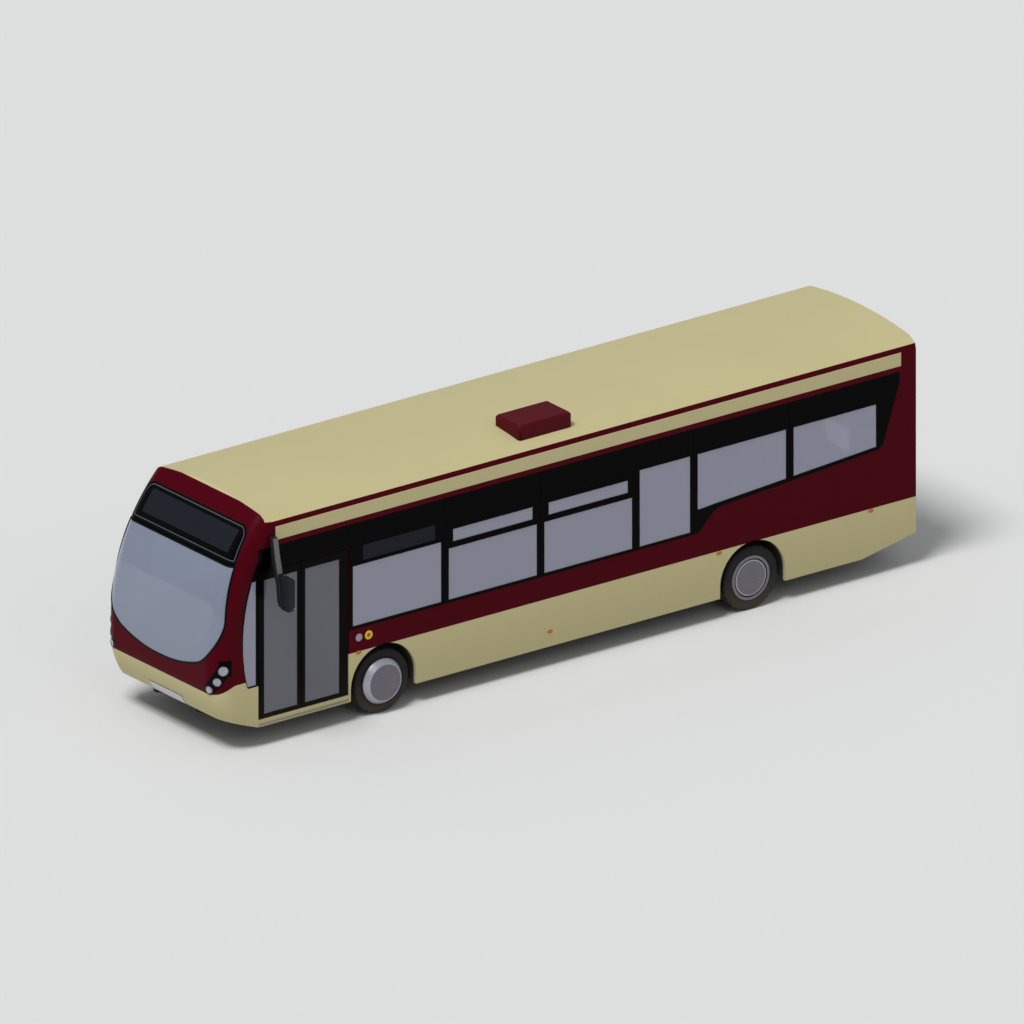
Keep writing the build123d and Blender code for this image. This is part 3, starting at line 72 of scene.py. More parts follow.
def linear(red, green, blue):
    """A colour read off in 0 to 255 as the shader's linear colour."""
    return tuple((max(part, 0) / 255) ** 2.2 for part in (red, green, blue)) + (1.0,)


bpy.ops.mesh.primitive_plane_add(size=floor_size)
studio_floor = bpy.context.object
studio_floor.name = "studio_floor"
floor_paint = bpy.data.materials.new("studio_floor_paint")
floor_paint.use_nodes = True
floor_shader = floor_paint.node_tree.nodes["Principled BSDF"]
floor_shader.inputs["Base Color"].default_value = linear(*floor_tone)
floor_shader.inputs["Roughness"].default_value = 0.9
studio_floor.data.materials.append(floor_paint)


def put(tree, kind, settings=None, **values):
    """One shader node, with its settings and its inputs' values or links, named or numbered as i0."""
    node = tree.nodes.new(f"ShaderNode{kind}")
    for key, value in (settings or {}).items():
        setattr(node, key, value)
    for key, value in values.items():
        by_number = key[0] == "i" and key[1:].isdigit()
        socket = node.inputs[int(key[1:]) if by_number else key.replace("_", " ")]
        if isinstance(value, bpy.types.NodeSocket):
            tree.links.new(value, socket)
        else:
            socket.default_value = value
    return node


def maths(tree, operation, first, second=0.0, third=0.0, clamp=False):
    """One sum on values or links, and its result."""
    settings = {"operation": operation, "use_clamp": clamp}
    return put(tree, "Math", settings, i0=first, i1=second, i2=third).outputs[0]


def mixed(tree, share, first, second):
    """Two colours mixed by a share."""
    return put(tree, "Mix", {"data_type": "RGBA"}, i0=share, i6=first, i7=second).outputs[2]


sky = bpy.data.worlds.new("studio_sky")
sky.use_nodes = True
sky_tree = sky.node_tree
sky_way = put(sky_tree, "SeparateXYZ", Vector=put(sky_tree, "TexCoord").outputs["Generated"])
below = maths(sky_tree, "LESS_THAN", sky_way.outputs["Z"], 0.0)
sky_light = mixed(sky_tree, below, linear(*sky_tone), ground_glow)
sky_tree.links.new(sky_light, sky_tree.nodes["Background"].inputs["Color"])
sky_tree.nodes["Background"].inputs["Strength"].default_value = sky_strength
bpy.context.scene.world = sky

for row in sun_rows:
    sun = dict(zip(sun_columns, row))
    bpy.ops.object.light_add(type="SUN", rotation=[math.radians(part) for part in sun["turn"]])
    bpy.context.object.data.energy = sun["energy"]
    bpy.context.object.data.angle = math.radians(sun["spread"])

# Weathering
# Effects that every finish shares: a faint unevenness of the colour, road dust that fades out
# upward, and a fine grain for the surface. The skins of the construction are dressed with them.
merge_reach = 0.00005
flat_angle = math.radians(0.4)
number = "NodeSocketFloat"
colour = "NodeSocketColor"
weather = bpy.data.node_groups.new("weathering", "ShaderNodeTree")
for way, name, kind, value in (
    ("INPUT", "Color", colour, (0.5, 0.5, 0.5, 1)), ("INPUT", "Dust", colour, linear(120, 108, 88)),
    ("INPUT", "Dust Top", number, 1.0), ("INPUT", "Dust Amount", number, 0.3),
    ("INPUT", "Patch Scale", number, 1.2), ("INPUT", "Patch", number, 0.08),
    ("INPUT", "Grain Scale", number, 90.0), ("INPUT", "Roughness", number, 0.35),
    ("OUTPUT", "Color", colour, None), ("OUTPUT", "Roughness", number, None),
    ("OUTPUT", "Height", number, None),
):
    socket = weather.interface.new_socket(name, in_out=way, socket_type=kind)
    if value is not None:
        socket.default_value = value
weather_out = weather.nodes.new("NodeGroupOutput")
given = weather.nodes.new("NodeGroupInput").outputs
place = put(weather, "TexCoord").outputs["Object"]
height = put(weather, "SeparateXYZ", Vector=place).outputs["Z"]
noise = "TexNoise"
patches = put(weather, noise, Vector=place, Scale=given["Patch Scale"], Detail=5.0, Roughness=0.6).outputs[0]
grain = put(weather, noise, Vector=place, Scale=given["Grain Scale"], Detail=3.0).outputs[0]
swing = maths(weather, "SUBTRACT", patches, 0.5)
shade = maths(weather, "MULTIPLY_ADD", swing, given["Patch"], 1.0)
shaded = put(weather, "VectorMath", {"operation": "SCALE"}, i0=given["Color"], Scale=shade).outputs[0]
fade = maths(weather, "SUBTRACT", 1.0, maths(weather, "DIVIDE", height, given["Dust Top"]), clamp=True)
settled = maths(weather, "MULTIPLY", fade, maths(weather, "ADD", patches, 0.2))
dusty = maths(weather, "MULTIPLY", settled, given["Dust Amount"], clamp=True)
dusted = mixed(weather, dusty, shaded, given["Dust"])
dust_rough = maths(weather, "MULTIPLY_ADD", dusty, 0.35, given["Roughness"])
rough = maths(weather, "MULTIPLY_ADD", swing, 0.12, dust_rough)
weather.links.new(dusted, weather_out.inputs["Color"])
weather.links.new(rough, weather_out.inputs["Roughness"])
weather.links.new(grain, weather_out.inputs["Height"])

clean = {"dust_amount": 0.0}


def finish(name, tint, roughness, metallic=0.0, coat=0.0, bump=0.02, shine=0.35, **values):
    """A weathered finish; tint is a colour, or a function that builds a colour in the material."""
    material = bpy.data.materials.new(name)
    material.use_nodes = True
    tree = material.node_tree
    shader = tree.nodes["Principled BSDF"]
    shader.inputs["Metallic"].default_value = metallic
    shader.inputs["Coat Weight"].default_value = coat
    shader.inputs["Coat Roughness"].default_value = 0.08
    shader.inputs["Specular IOR Level"].default_value = shine
    worn = tree.nodes.new("ShaderNodeGroup")
    worn.node_tree = weather
    worn.inputs["Roughness"].default_value = roughness
    if callable(tint):
        tree.links.new(tint(tree), worn.inputs["Color"])
    else:
        worn.inputs["Color"].default_value = linear(*tint)
    for key, value in values.items():
        worn.inputs[key.replace("_", " ").title()].default_value = value
    relief = put(tree, "Bump", Strength=bump, Distance=0.002, Height=worn.outputs["Height"])
    tree.links.new(worn.outputs["Color"], shader.inputs["Base Color"])
    tree.links.new(worn.outputs["Roughness"], shader.inputs["Roughness"])
    tree.links.new(relief.outputs[0], shader.inputs["Normal"])
    return material


def pick(piece):
    """Selects one piece alone, and makes it active."""
    bpy.ops.object.select_all(action="DESELECT")
    piece.select_set(True)
    bpy.context.view_layer.objects.active = piece


def altered(piece, kind, **settings):
    """A piece with one modifier applied to it."""
    pick(piece)
    change = piece.modifiers.new(kind, kind)
    for key, value in settings.items():
        setattr(change, key, value)
    bpy.ops.object.modifier_apply(modifier=change.name)
    return piece


def edit(piece, action="SELECT"):
    """Opens a piece for editing with its whole mesh selected, or none of it."""
    pick(piece)
    bpy.ops.object.mode_set(mode="EDIT")
    bpy.ops.mesh.select_all(action=action)


def stop_editing():
    """Leaves editing."""
    bpy.ops.object.mode_set(mode="OBJECT")


def own_copy(piece, name):
    """A copy of a piece with its own mesh."""
    made = piece.copy()
    made.data = piece.data.copy()
    made.name = name
    bpy.context.collection.objects.link(made)
    return made


def bare_copy(node, name, joined=False):
    """A node's bare mesh as a new piece: loose faces merged, and flat ones joined if asked."""
    made = own_copy(nodes[node], name)
    edit(made)
    bpy.ops.mesh.remove_doubles(threshold=merge_reach)
    if joined:
        bpy.ops.mesh.dissolve_limited(angle_limit=flat_angle)
    stop_editing()
    made.data.materials.clear()
    return made


def dress(piece, material, angle=None):
    """Gives a piece its one finish, and shades it smoothly up to an angle in degrees."""
    piece.data.materials.clear()
    piece.data.materials.append(material)
    if angle is not None:
        pick(piece)
        bpy.ops.object.shade_smooth_by_angle(angle=math.radians(angle))


def fit(piece, material, angle=None, body="bus_body"):
    """Dresses a piece, and lets it ride on a body."""
    dress(piece, material, angle)
    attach(piece, body)


def smooth_skin(node, material, angle=28, body="bus_body"):
    """A CAD node's own mesh with its flat faces joined up, so that its round ones shade smoothly."""
    skin = bare_copy(node, f"{node}_skin", joined=True)
    dress(skin, material, angle)
    altered(skin, "WEIGHTED_NORMAL", keep_sharp=True, weight=100)
    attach(skin, body)
    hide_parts(node)
    return skin


# Body panels
# Painted aluminium sides, a moulded front and rear and one crowned roof. The maroon coat has cream
# below the waist, a cream stripe over the windows and a cream roof.
cream = (196, 186, 140)
maroon = (78, 8, 24)
waist_z = 0.943
nose_line_z = 0.835
nose_y = (-5.57, -5.25)
stripe_z = (2.787, 2.971)
stripe_y = (-4.637, 5.34)
roof_edge_z = 3.041
roof_front_y = -4.768
bow_z = 1.6
bow_y = -5.172
bow_bends = (0.17, 0.11)
crown_z = 3.172
crown_fall = -0.0759
far = 9.0
door_patch = ((1.165, 1.3), (-5.3, -4.76), (0.85, 2.72))
sign_patch = ((-1.0, 1.09), (-5.6, -4.9), (2.5, 2.575))
lamp_patch = ((1.05, 1.25), (-5.5, -5.335), (1.09, 1.31))
lined_walls = ((-1.0, 1.163), (-4.905, 5.545), (0.34, 2.75))
lined_roof = ((-1.0, 1.08), (-4.76, 5.545), (0.0, far))
lining_depth = 0.3
patch_black = (10, 10, 12)
lining_grey = (176, 174, 168)


def object_axes(tree):
    """The X, Y and Z outputs of an object's own place."""
    axes = put(tree, "SeparateXYZ", Vector=put(tree, "TexCoord").outputs["Object"]).outputs
    return axes["X"], axes["Y"], axes["Z"]


def share_of(tree, *ranges):
    """One where every value lies within its range, otherwise zero."""
    whole = 1.0
    for value, low, high in ranges:
        over = maths(tree, "GREATER_THAN", value, low)
        under = maths(tree, "LESS_THAN", value, high)
        whole = maths(tree, "MULTIPLY", whole, maths(tree, "MULTIPLY", over, under))
    return whole


def in_box(tree, axes, box):
    """One inside a box given as (low, high) along each axis, otherwise zero."""
    return share_of(tree, *((axis, low, high) for axis, (low, high) in zip(axes, box)))


def livery(tree):
    """Maroon and cream by height and length, black beside the door and under the sign, grey inside."""
    sideways, along, up = object_axes(tree)
    ends = {"From_Min": nose_y[0], "From_Max": nose_y[1], "To_Min": nose_line_z, "To_Max": waist_z}
    waist = put(tree, "MapRange", {"interpolation_type": "SMOOTHSTEP"}, Value=along, **ends).outputs[0]
    low = maths(tree, "LESS_THAN", up, waist)
    stripe = share_of(tree, (up, *stripe_z), (along, *stripe_y))
    on_roof = share_of(tree, (up, roof_edge_z, far), (along, roof_front_y, far))
    light = maths(tree, "MAXIMUM", maths(tree, "MAXIMUM", low, stripe), on_roof)
    coats = mixed(tree, light, linear(*maroon), linear(*cream))
    across = maths(tree, "ABSOLUTE", sideways)
    bow = maths(tree, "POWER", maths(tree, "ABSOLUTE", maths(tree, "SUBTRACT", up, bow_z)), 2.0)
    bend = maths(tree, "MULTIPLY_ADD", maths(tree, "GREATER_THAN", up, bow_z), bow_bends[1], bow_bends[0])
    behind_bow = maths(tree, "SUBTRACT", along, maths(tree, "MULTIPLY_ADD", bow, bend, bow_y))
    axes = (across, along, up)
    beside_door = maths(tree, "MULTIPLY", in_box(tree, axes, door_patch), share_of(tree, (behind_bow, 0.0, far)))
    patches = maths(tree, "MAXIMUM", in_box(tree, axes, sign_patch), in_box(tree, axes, lamp_patch))
    black = maths(tree, "MAXIMUM", beside_door, patches)
    outside = mixed(tree, black, coats, linear(*patch_black))
    crown = maths(tree, "MULTIPLY_ADD", maths(tree, "POWER", across, 2.0), crown_fall, crown_z)
    under_crown = share_of(tree, (maths(tree, "SUBTRACT", crown, up), 0.0, lining_depth))
    ceiling = maths(tree, "MULTIPLY", in_box(tree, axes, lined_roof), under_crown)
    lined = maths(tree, "MAXIMUM", in_box(tree, axes, lined_walls), ceiling)
    return mixed(tree, lined, outside, linear(*lining_grey))


weathered = {"dust_top": 0.9, "dust_amount": 0.35, "patch": 0.1, "patch_scale": 0.8}
body_paint = finish("maroon_and_cream_paint", livery, 0.36, coat=0.01, shine=0.035, **weathered)
for node, angle in (
    ("side_wall_left", 5), ("side_wall_right", 5), ("roof_panel", 14), ("front_panel", 28),
    ("front_bumper", 28), ("rear_panel", 14),
):
    smooth_skin(node, body_paint, angle)
smooth_skin("engine_door", body_paint, body="engine_door")
pod_paint = finish(
    "pod_paint", (84, 12, 26), 0.45, coat=0.01, shine=0.06, patch=0.15, dust_top=6.0, dust_amount=0.05
)
smooth_skin("roof_pod", pod_paint)

# Side glazing
# Flat tinted panes bonded edge to edge along each side. A black printed border hides the frame
# behind them and leaves the clear windows, two of them with hopper vents.
window_columns = ("start", "end", "low", "top", "lift", "sides")
both = (-1, 1)
window_rows = [
    (-3.409, -1.992, 1.304, 2.132, 0.0, both), (-1.878, -0.467, 1.304, 2.012, 0.0, both),
    (-1.81, -0.535, 2.088, 2.263, 0.0, both), (-0.353, 1.053, 1.304, 2.012, 0.0, both),
    (-0.285, 0.985, 2.088, 2.263, 0.0, both), (1.167, 1.978, 1.304, 2.357, 0.0, both),
    (2.092, 3.508, 1.5876, 2.357, 0.0637, both), (3.622, 4.945, 1.6851, 2.357, 0.0637, both),
    (-4.854, -3.523, 1.304, 2.132, 0.0, (-1,)),
]
windows = [dict(zip(window_columns, row)) for row in window_rows]
pane_x = (1.185, 1.215)


def settle(piece):
    """Works a piece's place, turn and scale into its mesh."""
    pick(piece)
    bpy.ops.object.transform_apply(location=True, rotation=True, scale=True)
    return piece


def block(name, low, high):
    """A box between two corners."""
    centre = [(a + b) / 2 for a, b in zip(low, high)]
    bpy.ops.mesh.primitive_cube_add(size=1, location=centre, scale=[abs(b - a) for a, b in zip(low, high)])
    made = bpy.context.object
    made.name = name
    return settle(made)


def bevel_all(piece, width, segments=2, angle=40):
    """Rounds a piece's sharp edges, and shades it smoothly."""
    limit = {"limit_method": "ANGLE", "angle_limit": math.radians(angle)}
    altered(piece, "BEVEL", width=width, segments=segments, **limit)
    bpy.ops.object.shade_smooth_by_angle(angle=math.radians(35))
    return piece


def join(pieces, name):
    """Several pieces made one."""
    bpy.ops.object.select_all(action="DESELECT")
    for piece in pieces:
        piece.select_set(True)
    bpy.context.view_layer.objects.active = pieces[0]
    if len(pieces) > 1:
        bpy.ops.object.join()
    bpy.context.object.name = name
    return bpy.context.object


def cut_with(piece, cutter, operation):
    """Keeps or takes away what a cutter covers."""
    altered(piece, "BOOLEAN", object=cutter, operation=operation, solver="EXACT")


def slope_cut(piece, point, normal):
    """Cuts a piece by a plane, and keeps what lies behind the normal."""
    edit(piece)
    bpy.ops.mesh.bisect(plane_co=point, plane_no=normal, use_fill=True, clear_outer=True)
    stop_editing()


clear_cutters = []
for place, window in enumerate(windows):
    low, high = (pane_x[0], window["start"], window["low"]), (pane_x[1], window["end"], window["top"])
    for side in window["sides"]:
        cutter = block(f"clear_{place}_{side}", (side * low[0], *low[1:]), (side * high[0], *high[1:]))
        if window["lift"]:
            slope_cut(cutter, (0, *low[1:]), (0, window["lift"], -1))
        clear_cutters.append(cutter)
for side in (-1, 1):
    clear_cutters.append(block(f"quarter_{side}", (side * 0.9, -5.3, 0.8), (side * 1.25, -4.93, 2.35)))
clear_windows = join(clear_cutters, "clear_windows")


def glass(name, tint, through, roughness, coat, bend=1.45):
    """A tinted glass that lets a share of the light through."""
    material = bpy.data.materials.new(name)
    material.use_nodes = True
    shader = material.node_tree.nodes["Principled BSDF"]
    shader.inputs["Base Color"].default_value = linear(*tint)
    shader.inputs["Transmission Weight"].default_value = through
    shader.inputs["Roughness"].default_value = roughness
    shader.inputs["IOR"].default_value = bend
    shader.inputs["Coat Weight"].default_value = coat
    return material


glass_smoke = glass("smoked_glass", (184, 184, 204), 0.45, 0.06, 0.3)
border_black = finish(
    "printed_border", (4, 4, 5), 0.14, coat=0.01, shine=0.04, patch=0.3, dust_amount=0.02, dust_top=2.2
)

sign_cutters = [
    block(f"side_sign_{side}", (side * pane_x[0], -3.244, 2.182), (side * pane_x[1], -2.094, 2.385))
    for side in (-1, 1)
]
sign_window = join(sign_cutters, "sign_window")
dot_pitch = 0.012
dot_edge = 0.45
border = bare_copy("side_glass", "side_glass_border")
panes = bare_copy("side_glass", "side_glass_clear")
side_sign = bare_copy("side_glass", "side_glass_sign")
cut_with(border, clear_windows, "DIFFERENCE")
cut_with(border, sign_window, "DIFFERENCE")
cut_with(panes, clear_windows, "INTERSECT")
cut_with(side_sign, sign_window, "INTERSECT")


def lamp_grid(tree):
    """The rows of unlit dots of a line display."""
    across, along, up = object_axes(tree)
    dots = []
    for value in (maths(tree, "ADD", across, along), up):
        wave = maths(tree, "SINE", maths(tree, "MULTIPLY", value, 2 * math.pi / dot_pitch))
        dots.append(maths(tree, "MULTIPLY_ADD", wave, 0.5, 0.5))
    share = maths(tree, "GREATER_THAN", maths(tree, "MULTIPLY", dots[0], dots[1]), dot_edge)
    return mixed(tree, share, linear(30, 32, 38), linear(52, 55, 62))


display_dark = finish("unlit_display", lamp_grid, 0.16, coat=0.0, shine=0.06, **clean)
for piece, material in ((border, border_black), (panes, glass_smoke), (side_sign, display_dark)):
    fit(piece, material)
    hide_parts("side_glass")
bpy.data.objects.remove(clear_windows)
bpy.data.objects.remove(sign_window)


def edit_faces(piece, wanted):
    """Opens a piece for editing with only the wanted faces selected."""
    edit(piece, "DESELECT")
    bpy.ops.mesh.select_mode(type="FACE")
    stop_editing()
    for face in piece.data.polygons:
        face.select = wanted(face)
    bpy.ops.object.mode_set(mode="EDIT")


def seal_round(pane, name, facing, width, material, body="bus_body", lean=0.35, sunk=(0, 0, 0)):
    """A round rubber seal that follows the outer rim of a pane, and may be sunk into it."""

    def inner(face):
        """Whether a face looks none of the given ways."""
        return all(face.normal.dot(Vector(way)) <= lean for way in facing)

    edit_faces(own_copy(pane, name), inner)
    bpy.ops.mesh.delete(type="FACE")
    bpy.ops.mesh.select_all(action="SELECT")
    bpy.ops.mesh.region_to_loop()
    bpy.ops.mesh.select_all(action="INVERT")
    bpy.ops.mesh.delete(type="EDGE_FACE")
    bpy.ops.mesh.select_all(action="SELECT")
    bpy.ops.mesh.delete(type="ONLY_FACE")
    stop_editing()
    bpy.ops.object.convert(target="CURVE")
    rim = bpy.context.object
    rim.data.bevel_depth = width
    rim.data.bevel_resolution = 2
    bpy.ops.object.convert(target="MESH")
    rim = bpy.context.object
    rim.name = name
    rim.location = sunk
    fit(settle(rim), material, 60, body)
    return rim


# Front glazing
# A deep curved windscreen, bonded in a black rubber seal, with the destination glass over it and a
# narrow curved pane round each corner ahead of the door.
rubber = finish("window_rubber", (8, 8, 9), 0.55, shine=0.1, patch=0.25, dust_amount=0.08, dust_top=2.0)
screen_clear = glass("screen_glass", (172, 182, 204), 0.55, 0.05, 0.4)
screen = smooth_skin("windscreen", screen_clear, angle=40)
seal_round(screen, "windscreen_seal", [(0, -1, 0)], 0.015, rubber, sunk=(0, 0.0045, 0))
line_z = (2.584, 2.962)
line_x = 1.332
line_lean = -0.106
line_round = 0.11
line_half = 0.005


def sign_print(tree):
    """Black print with a thin grey line just inside the rim of the destination glass."""
    sideways, _, up = object_axes(tree)
    reach = maths(tree, "MULTIPLY_ADD", up, line_lean, line_x - line_round)
    over_x = maths(tree, "SUBTRACT", maths(tree, "ABSOLUTE", sideways), reach)
    over_z = maths(tree, "SUBTRACT", up, line_z[1] - line_round)
    out_x = maths(tree, "POWER", maths(tree, "MAXIMUM", over_x, 0.0), 2.0)
    out_z = maths(tree, "POWER", maths(tree, "MAXIMUM", over_z, 0.0), 2.0)
    outside = maths(tree, "SQRT", maths(tree, "ADD", out_x, out_z))
    inside = maths(tree, "MINIMUM", maths(tree, "MAXIMUM", over_x, over_z), 0.0)
    round_rim = maths(tree, "SUBTRACT", maths(tree, "ADD", outside, inside), line_round)
    rim = maths(tree, "MAXIMUM", round_rim, maths(tree, "SUBTRACT", line_z[0], up))
    return mixed(tree, maths(tree, "COMPARE", rim, 0.0, line_half), linear(9, 9, 11), linear(84, 88, 94))


sign_border = bare_copy("destination_glass", "destination_border")
seal_round(sign_border, "destination_seal", [(0, -1, 0.3)], 0.008, rubber)
sign_pane = bare_copy("destination_glass", "destination_display")
sign_cutter = block("sign_cutter", (-0.904, -5.6, 2.653), (0.904, -4.5, 2.919))
cut_with(sign_border, sign_cutter, "DIFFERENCE")
cut_with(sign_pane, sign_cutter, "INTERSECT")
bpy.data.objects.remove(sign_cutter)
sign_black = finish("sign_print", sign_print, 0.14, coat=0.02, shine=0.08, **clean)
for piece, material in ((sign_border, sign_black), (sign_pane, display_dark)):
    fit(piece, material, 40)
    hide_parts("destination_glass")
seal_round(panes, "quarter_seals", [(1, -0.2, 0), (-1, -0.2, 0)], 0.006, rubber, lean=0.5)

# Entrance door
# Two black aluminium leaves with tall tinted panes, each turning on pins at its outer edge, over a
# worn metal sill strip. Each leaf carries a yellow grab rail inside.
door_black = finish(
    "door_black_paint", (4, 4, 5), 0.35, coat=0.01, shine=0.05, patch=0.3, dust_top=0.9, dust_amount=0.08
)
door_smoke = glass("door_glass", (128, 128, 138), 0.45, 0.08, 0.0, 1.5)
rail_yellow = finish("grab_rail_yellow", (212, 164, 24), 0.3, coat=0.4, patch=0.12, **clean)
rail_x = 1.122
rail_z = 1.25
rail_gap = 0.026
foot_x = 1.138
foot_heights = (0.86, 1.64)
across_turn = (0, math.radians(90), 0)


def rod(radius, length, centre, turn=(0, 0, 0), sides=20):
    """A round rod along Z, or turned from there."""
    bpy.ops.mesh.primitive_cylinder_add(vertices=sides, radius=radius, depth=length, location=centre, rotation=turn)
    return settle(bpy.context.object)


for leaf, edge, way in (("front", 1, 1), ("rear", 0, -1)):
    body = f"entrance_door_{leaf}"
    smooth_skin(f"door_leaf_{leaf}", door_black, body=body)
    leaf_glass = smooth_skin(f"door_glass_{leaf}", door_smoke, body=body)
    seal_round(leaf_glass, f"door_seal_{leaf}", [(1, 0, 0)], 0.008, rubber, body=body, lean=0.5)
    rail_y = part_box(f"door_glass_{leaf}")[edge].y + way * rail_gap
    rail = [rod(0.014, 0.9, (rail_x, rail_y, rail_z))]
    rail += [rod(0.01, 0.036, (foot_x, rail_y, foot_z), across_turn, 14) for foot_z in foot_heights]
    rail = join(rail, f"door_rail_{leaf}")
    fit(bevel_all(rail, 0.003), rail_yellow, body=body)

sill_metal = finish("sill_metal", (150, 147, 138), 0.45, metallic=0.6, patch=0.3, dust_top=0.8, dust_amount=0.4)
sill = block("door_sill", (1.19, -4.905, 0.3), (1.204, -3.47, 0.33))
fit(bevel_all(sill, 0.003), sill_metal)

# Tyres
# Bus tyres with four grooves round the tread, blocks along each shoulder, and raised rings on the
# walls. They are single in front and twin at the rear.
weld_reach = 0.00008


def turned(name, profile, steps=72):
    """A piece turned about the X axis from its half outline of (x, radius) points."""
    bpy.ops.mesh.primitive_plane_add(size=0.001, location=(profile[0][0], 0, profile[0][1]))
    made = settle(bpy.context.object)
    made.name = name
    bpy.ops.object.mode_set(mode="EDIT")
    bpy.ops.mesh.select_mode(type="VERT")
    bpy.ops.mesh.select_all(action="SELECT")
    bpy.ops.mesh.merge(type="CENTER")
    for before, after in zip(profile, profile[1:]):
        step = (after[0] - before[0], 0, after[1] - before[1])
        bpy.ops.mesh.extrude_region_move(TRANSFORM_OT_translate={"value": step})
    bpy.ops.mesh.select_all(action="SELECT")
    bpy.ops.mesh.spin(steps=steps, angle=2 * math.pi, center=(0, 0, 0), axis=(1, 0, 0))
    bpy.ops.mesh.select_all(action="SELECT")
    bpy.ops.mesh.remove_doubles(threshold=weld_reach)
    bpy.ops.mesh.normals_make_consistent(inside=False)
    stop_editing()
    return made


def set_at(piece, origin, direction=(1, 0, 0)):
    """Turns a piece's X axis to a direction, and moves it to a point."""
    piece.rotation_euler = Vector(direction).to_track_quat("X", "Z").to_euler()
    piece.location = origin
    return settle(piece)


tyre_steps = 96
tyre_radius = 0.435
groove_depth = 0.009
groove_half = 0.0055
groove_slope = 0.001
groove_places = (0.062, 0.021, -0.021, -0.062)
shoulder_x = (0.072, 0.122)
shoulder_radius = 0.425
blocks_every = 4
bead_radius = 0.288
wall_side = [
    (0.118, 0.2865), (0.118, 0.3), (0.124, 0.316), (0.129, 0.334), (0.1305, 0.336), (0.1305, 0.34),
    (0.1295, 0.342), (0.1315, 0.362), (0.1318, 0.384), (0.13, 0.398), (0.1285, 0.4), (0.1285, 0.404),
    (0.124, 0.42), (0.112, 0.4315), (0.098, 0.4345),
]
groove_floor = tyre_radius - groove_depth
tread = []
for middle in groove_places:
    front, back = middle + groove_half, middle - groove_half
    tread += [(front, tyre_radius), (front - groove_slope, groove_floor)]
    tread += [(back + groove_slope, groove_floor), (back, tyre_radius)]
tyre_profile = wall_side + tread + [(-x, radius) for x, radius in reversed(wall_side)]
tyre_profile += [(0, bead_radius), wall_side[0]]
tyre_look = {"bump": 0.25, "grain_scale": 260.0, "patch": 0.35, "patch_scale": 6.0}
tyre_black = finish("tyre_rubber", (24, 23, 24), 0.72, dust_top=0.5, dust_amount=0.35, **tyre_look)
tyre_blank = turned("tyre_blank", tyre_profile, tyre_steps)


def between_blocks(face):
    """Whether a face lies on a shoulder, in one of the steps that are sunk between its blocks."""
    x, y, z = face.center
    turn = (math.degrees(math.atan2(y, z)) / 360 * tyre_steps) % blocks_every
    return shoulder_x[0] < abs(x) < shoulder_x[1] and math.hypot(y, z) > shoulder_radius and turn < 1


edit_faces(tyre_blank, between_blocks)
bpy.ops.mesh.extrude_region_shrink_fatten(
    MESH_OT_extrude_region={}, TRANSFORM_OT_shrink_fatten={"value": -groove_depth}
)
stop_editing()
dress(tyre_blank, tyre_black, 32)

single_x = 1.033
inner_x = 0.727
front_axle_y = -2.915
rear_axle_y = 2.975
hub_z = tyre_radius
for node, group, axle_y, places in (
    ("front_tyre", "wheel_front", front_axle_y, (single_x,)),
    ("rear_tyres", "wheels_rear", rear_axle_y, (single_x, inner_x)),
):
    for side, sign in (("left", 1), ("right", -1)):
        fitted = []
        for x in places:
            tyre = own_copy(tyre_blank, f"{node}_{side}_{len(fitted)}")
            fitted.append(set_at(tyre, (sign * x, axle_y, hub_z)))
        tyre = join(fitted, f"{node}_{side}_tread")
        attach(tyre, f"{group}_{side}")
        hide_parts(f"{node}_{side}")
bpy.data.objects.remove(tyre_blank)

# Wheels and covers
# Pressed steel rims in grey paint. A bevelled cover stands proud of each front wheel, and a flat
# disc closes each rear one.
rim_paint = finish(
    "rim_grey_paint", (118, 116, 126), 0.4, metallic=0.25, coat=0.1, patch=0.25, patch_scale=4.0, dust_top=0.9
)
for rim, group in (("front_rim", "wheel_front"), ("rear_rims", "wheels_rear")):
    for side in ("left", "right"):
        smooth_skin(f"{rim}_{side}", rim_paint, body=f"{group}_{side}")

cover_columns = ("end", "group", "axle_y", "out", "radius")
cover_rows = [
    ("front", "wheel_front", front_axle_y, 1.24, 0.254), ("rear", "wheels_rear", rear_axle_y, 1.158, 0.238),
]
trim_grey = finish(
    "wheel_trim", (176, 177, 190), 0.3, metallic=0.55, coat=0.1, patch=0.2, patch_scale=5.0, dust_top=0.8
)
cover_grey = finish(
    "wheel_cover", (112, 110, 120), 0.42, metallic=0.3, coat=0.05, patch=0.22, patch_scale=4.0, dust_top=0.9
)
screw_steel = finish("screw_steel", (150, 150, 155), 0.35, metallic=0.8, dust_top=0.8, dust_amount=0.4)
screw_count = 10
screw_circle = 0.62


def ring_of(piece, name, count, radius):
    """Copies of a piece set evenly round the X axis, joined as one."""
    row = []
    for turn in range(count):
        made = own_copy(piece, f"{name}_{turn}")
        angle = 2 * math.pi * turn / count
        row.append(set_at(made, (0, radius * math.cos(angle), radius * math.sin(angle))))
    bpy.data.objects.remove(piece)
    return join(row, name)


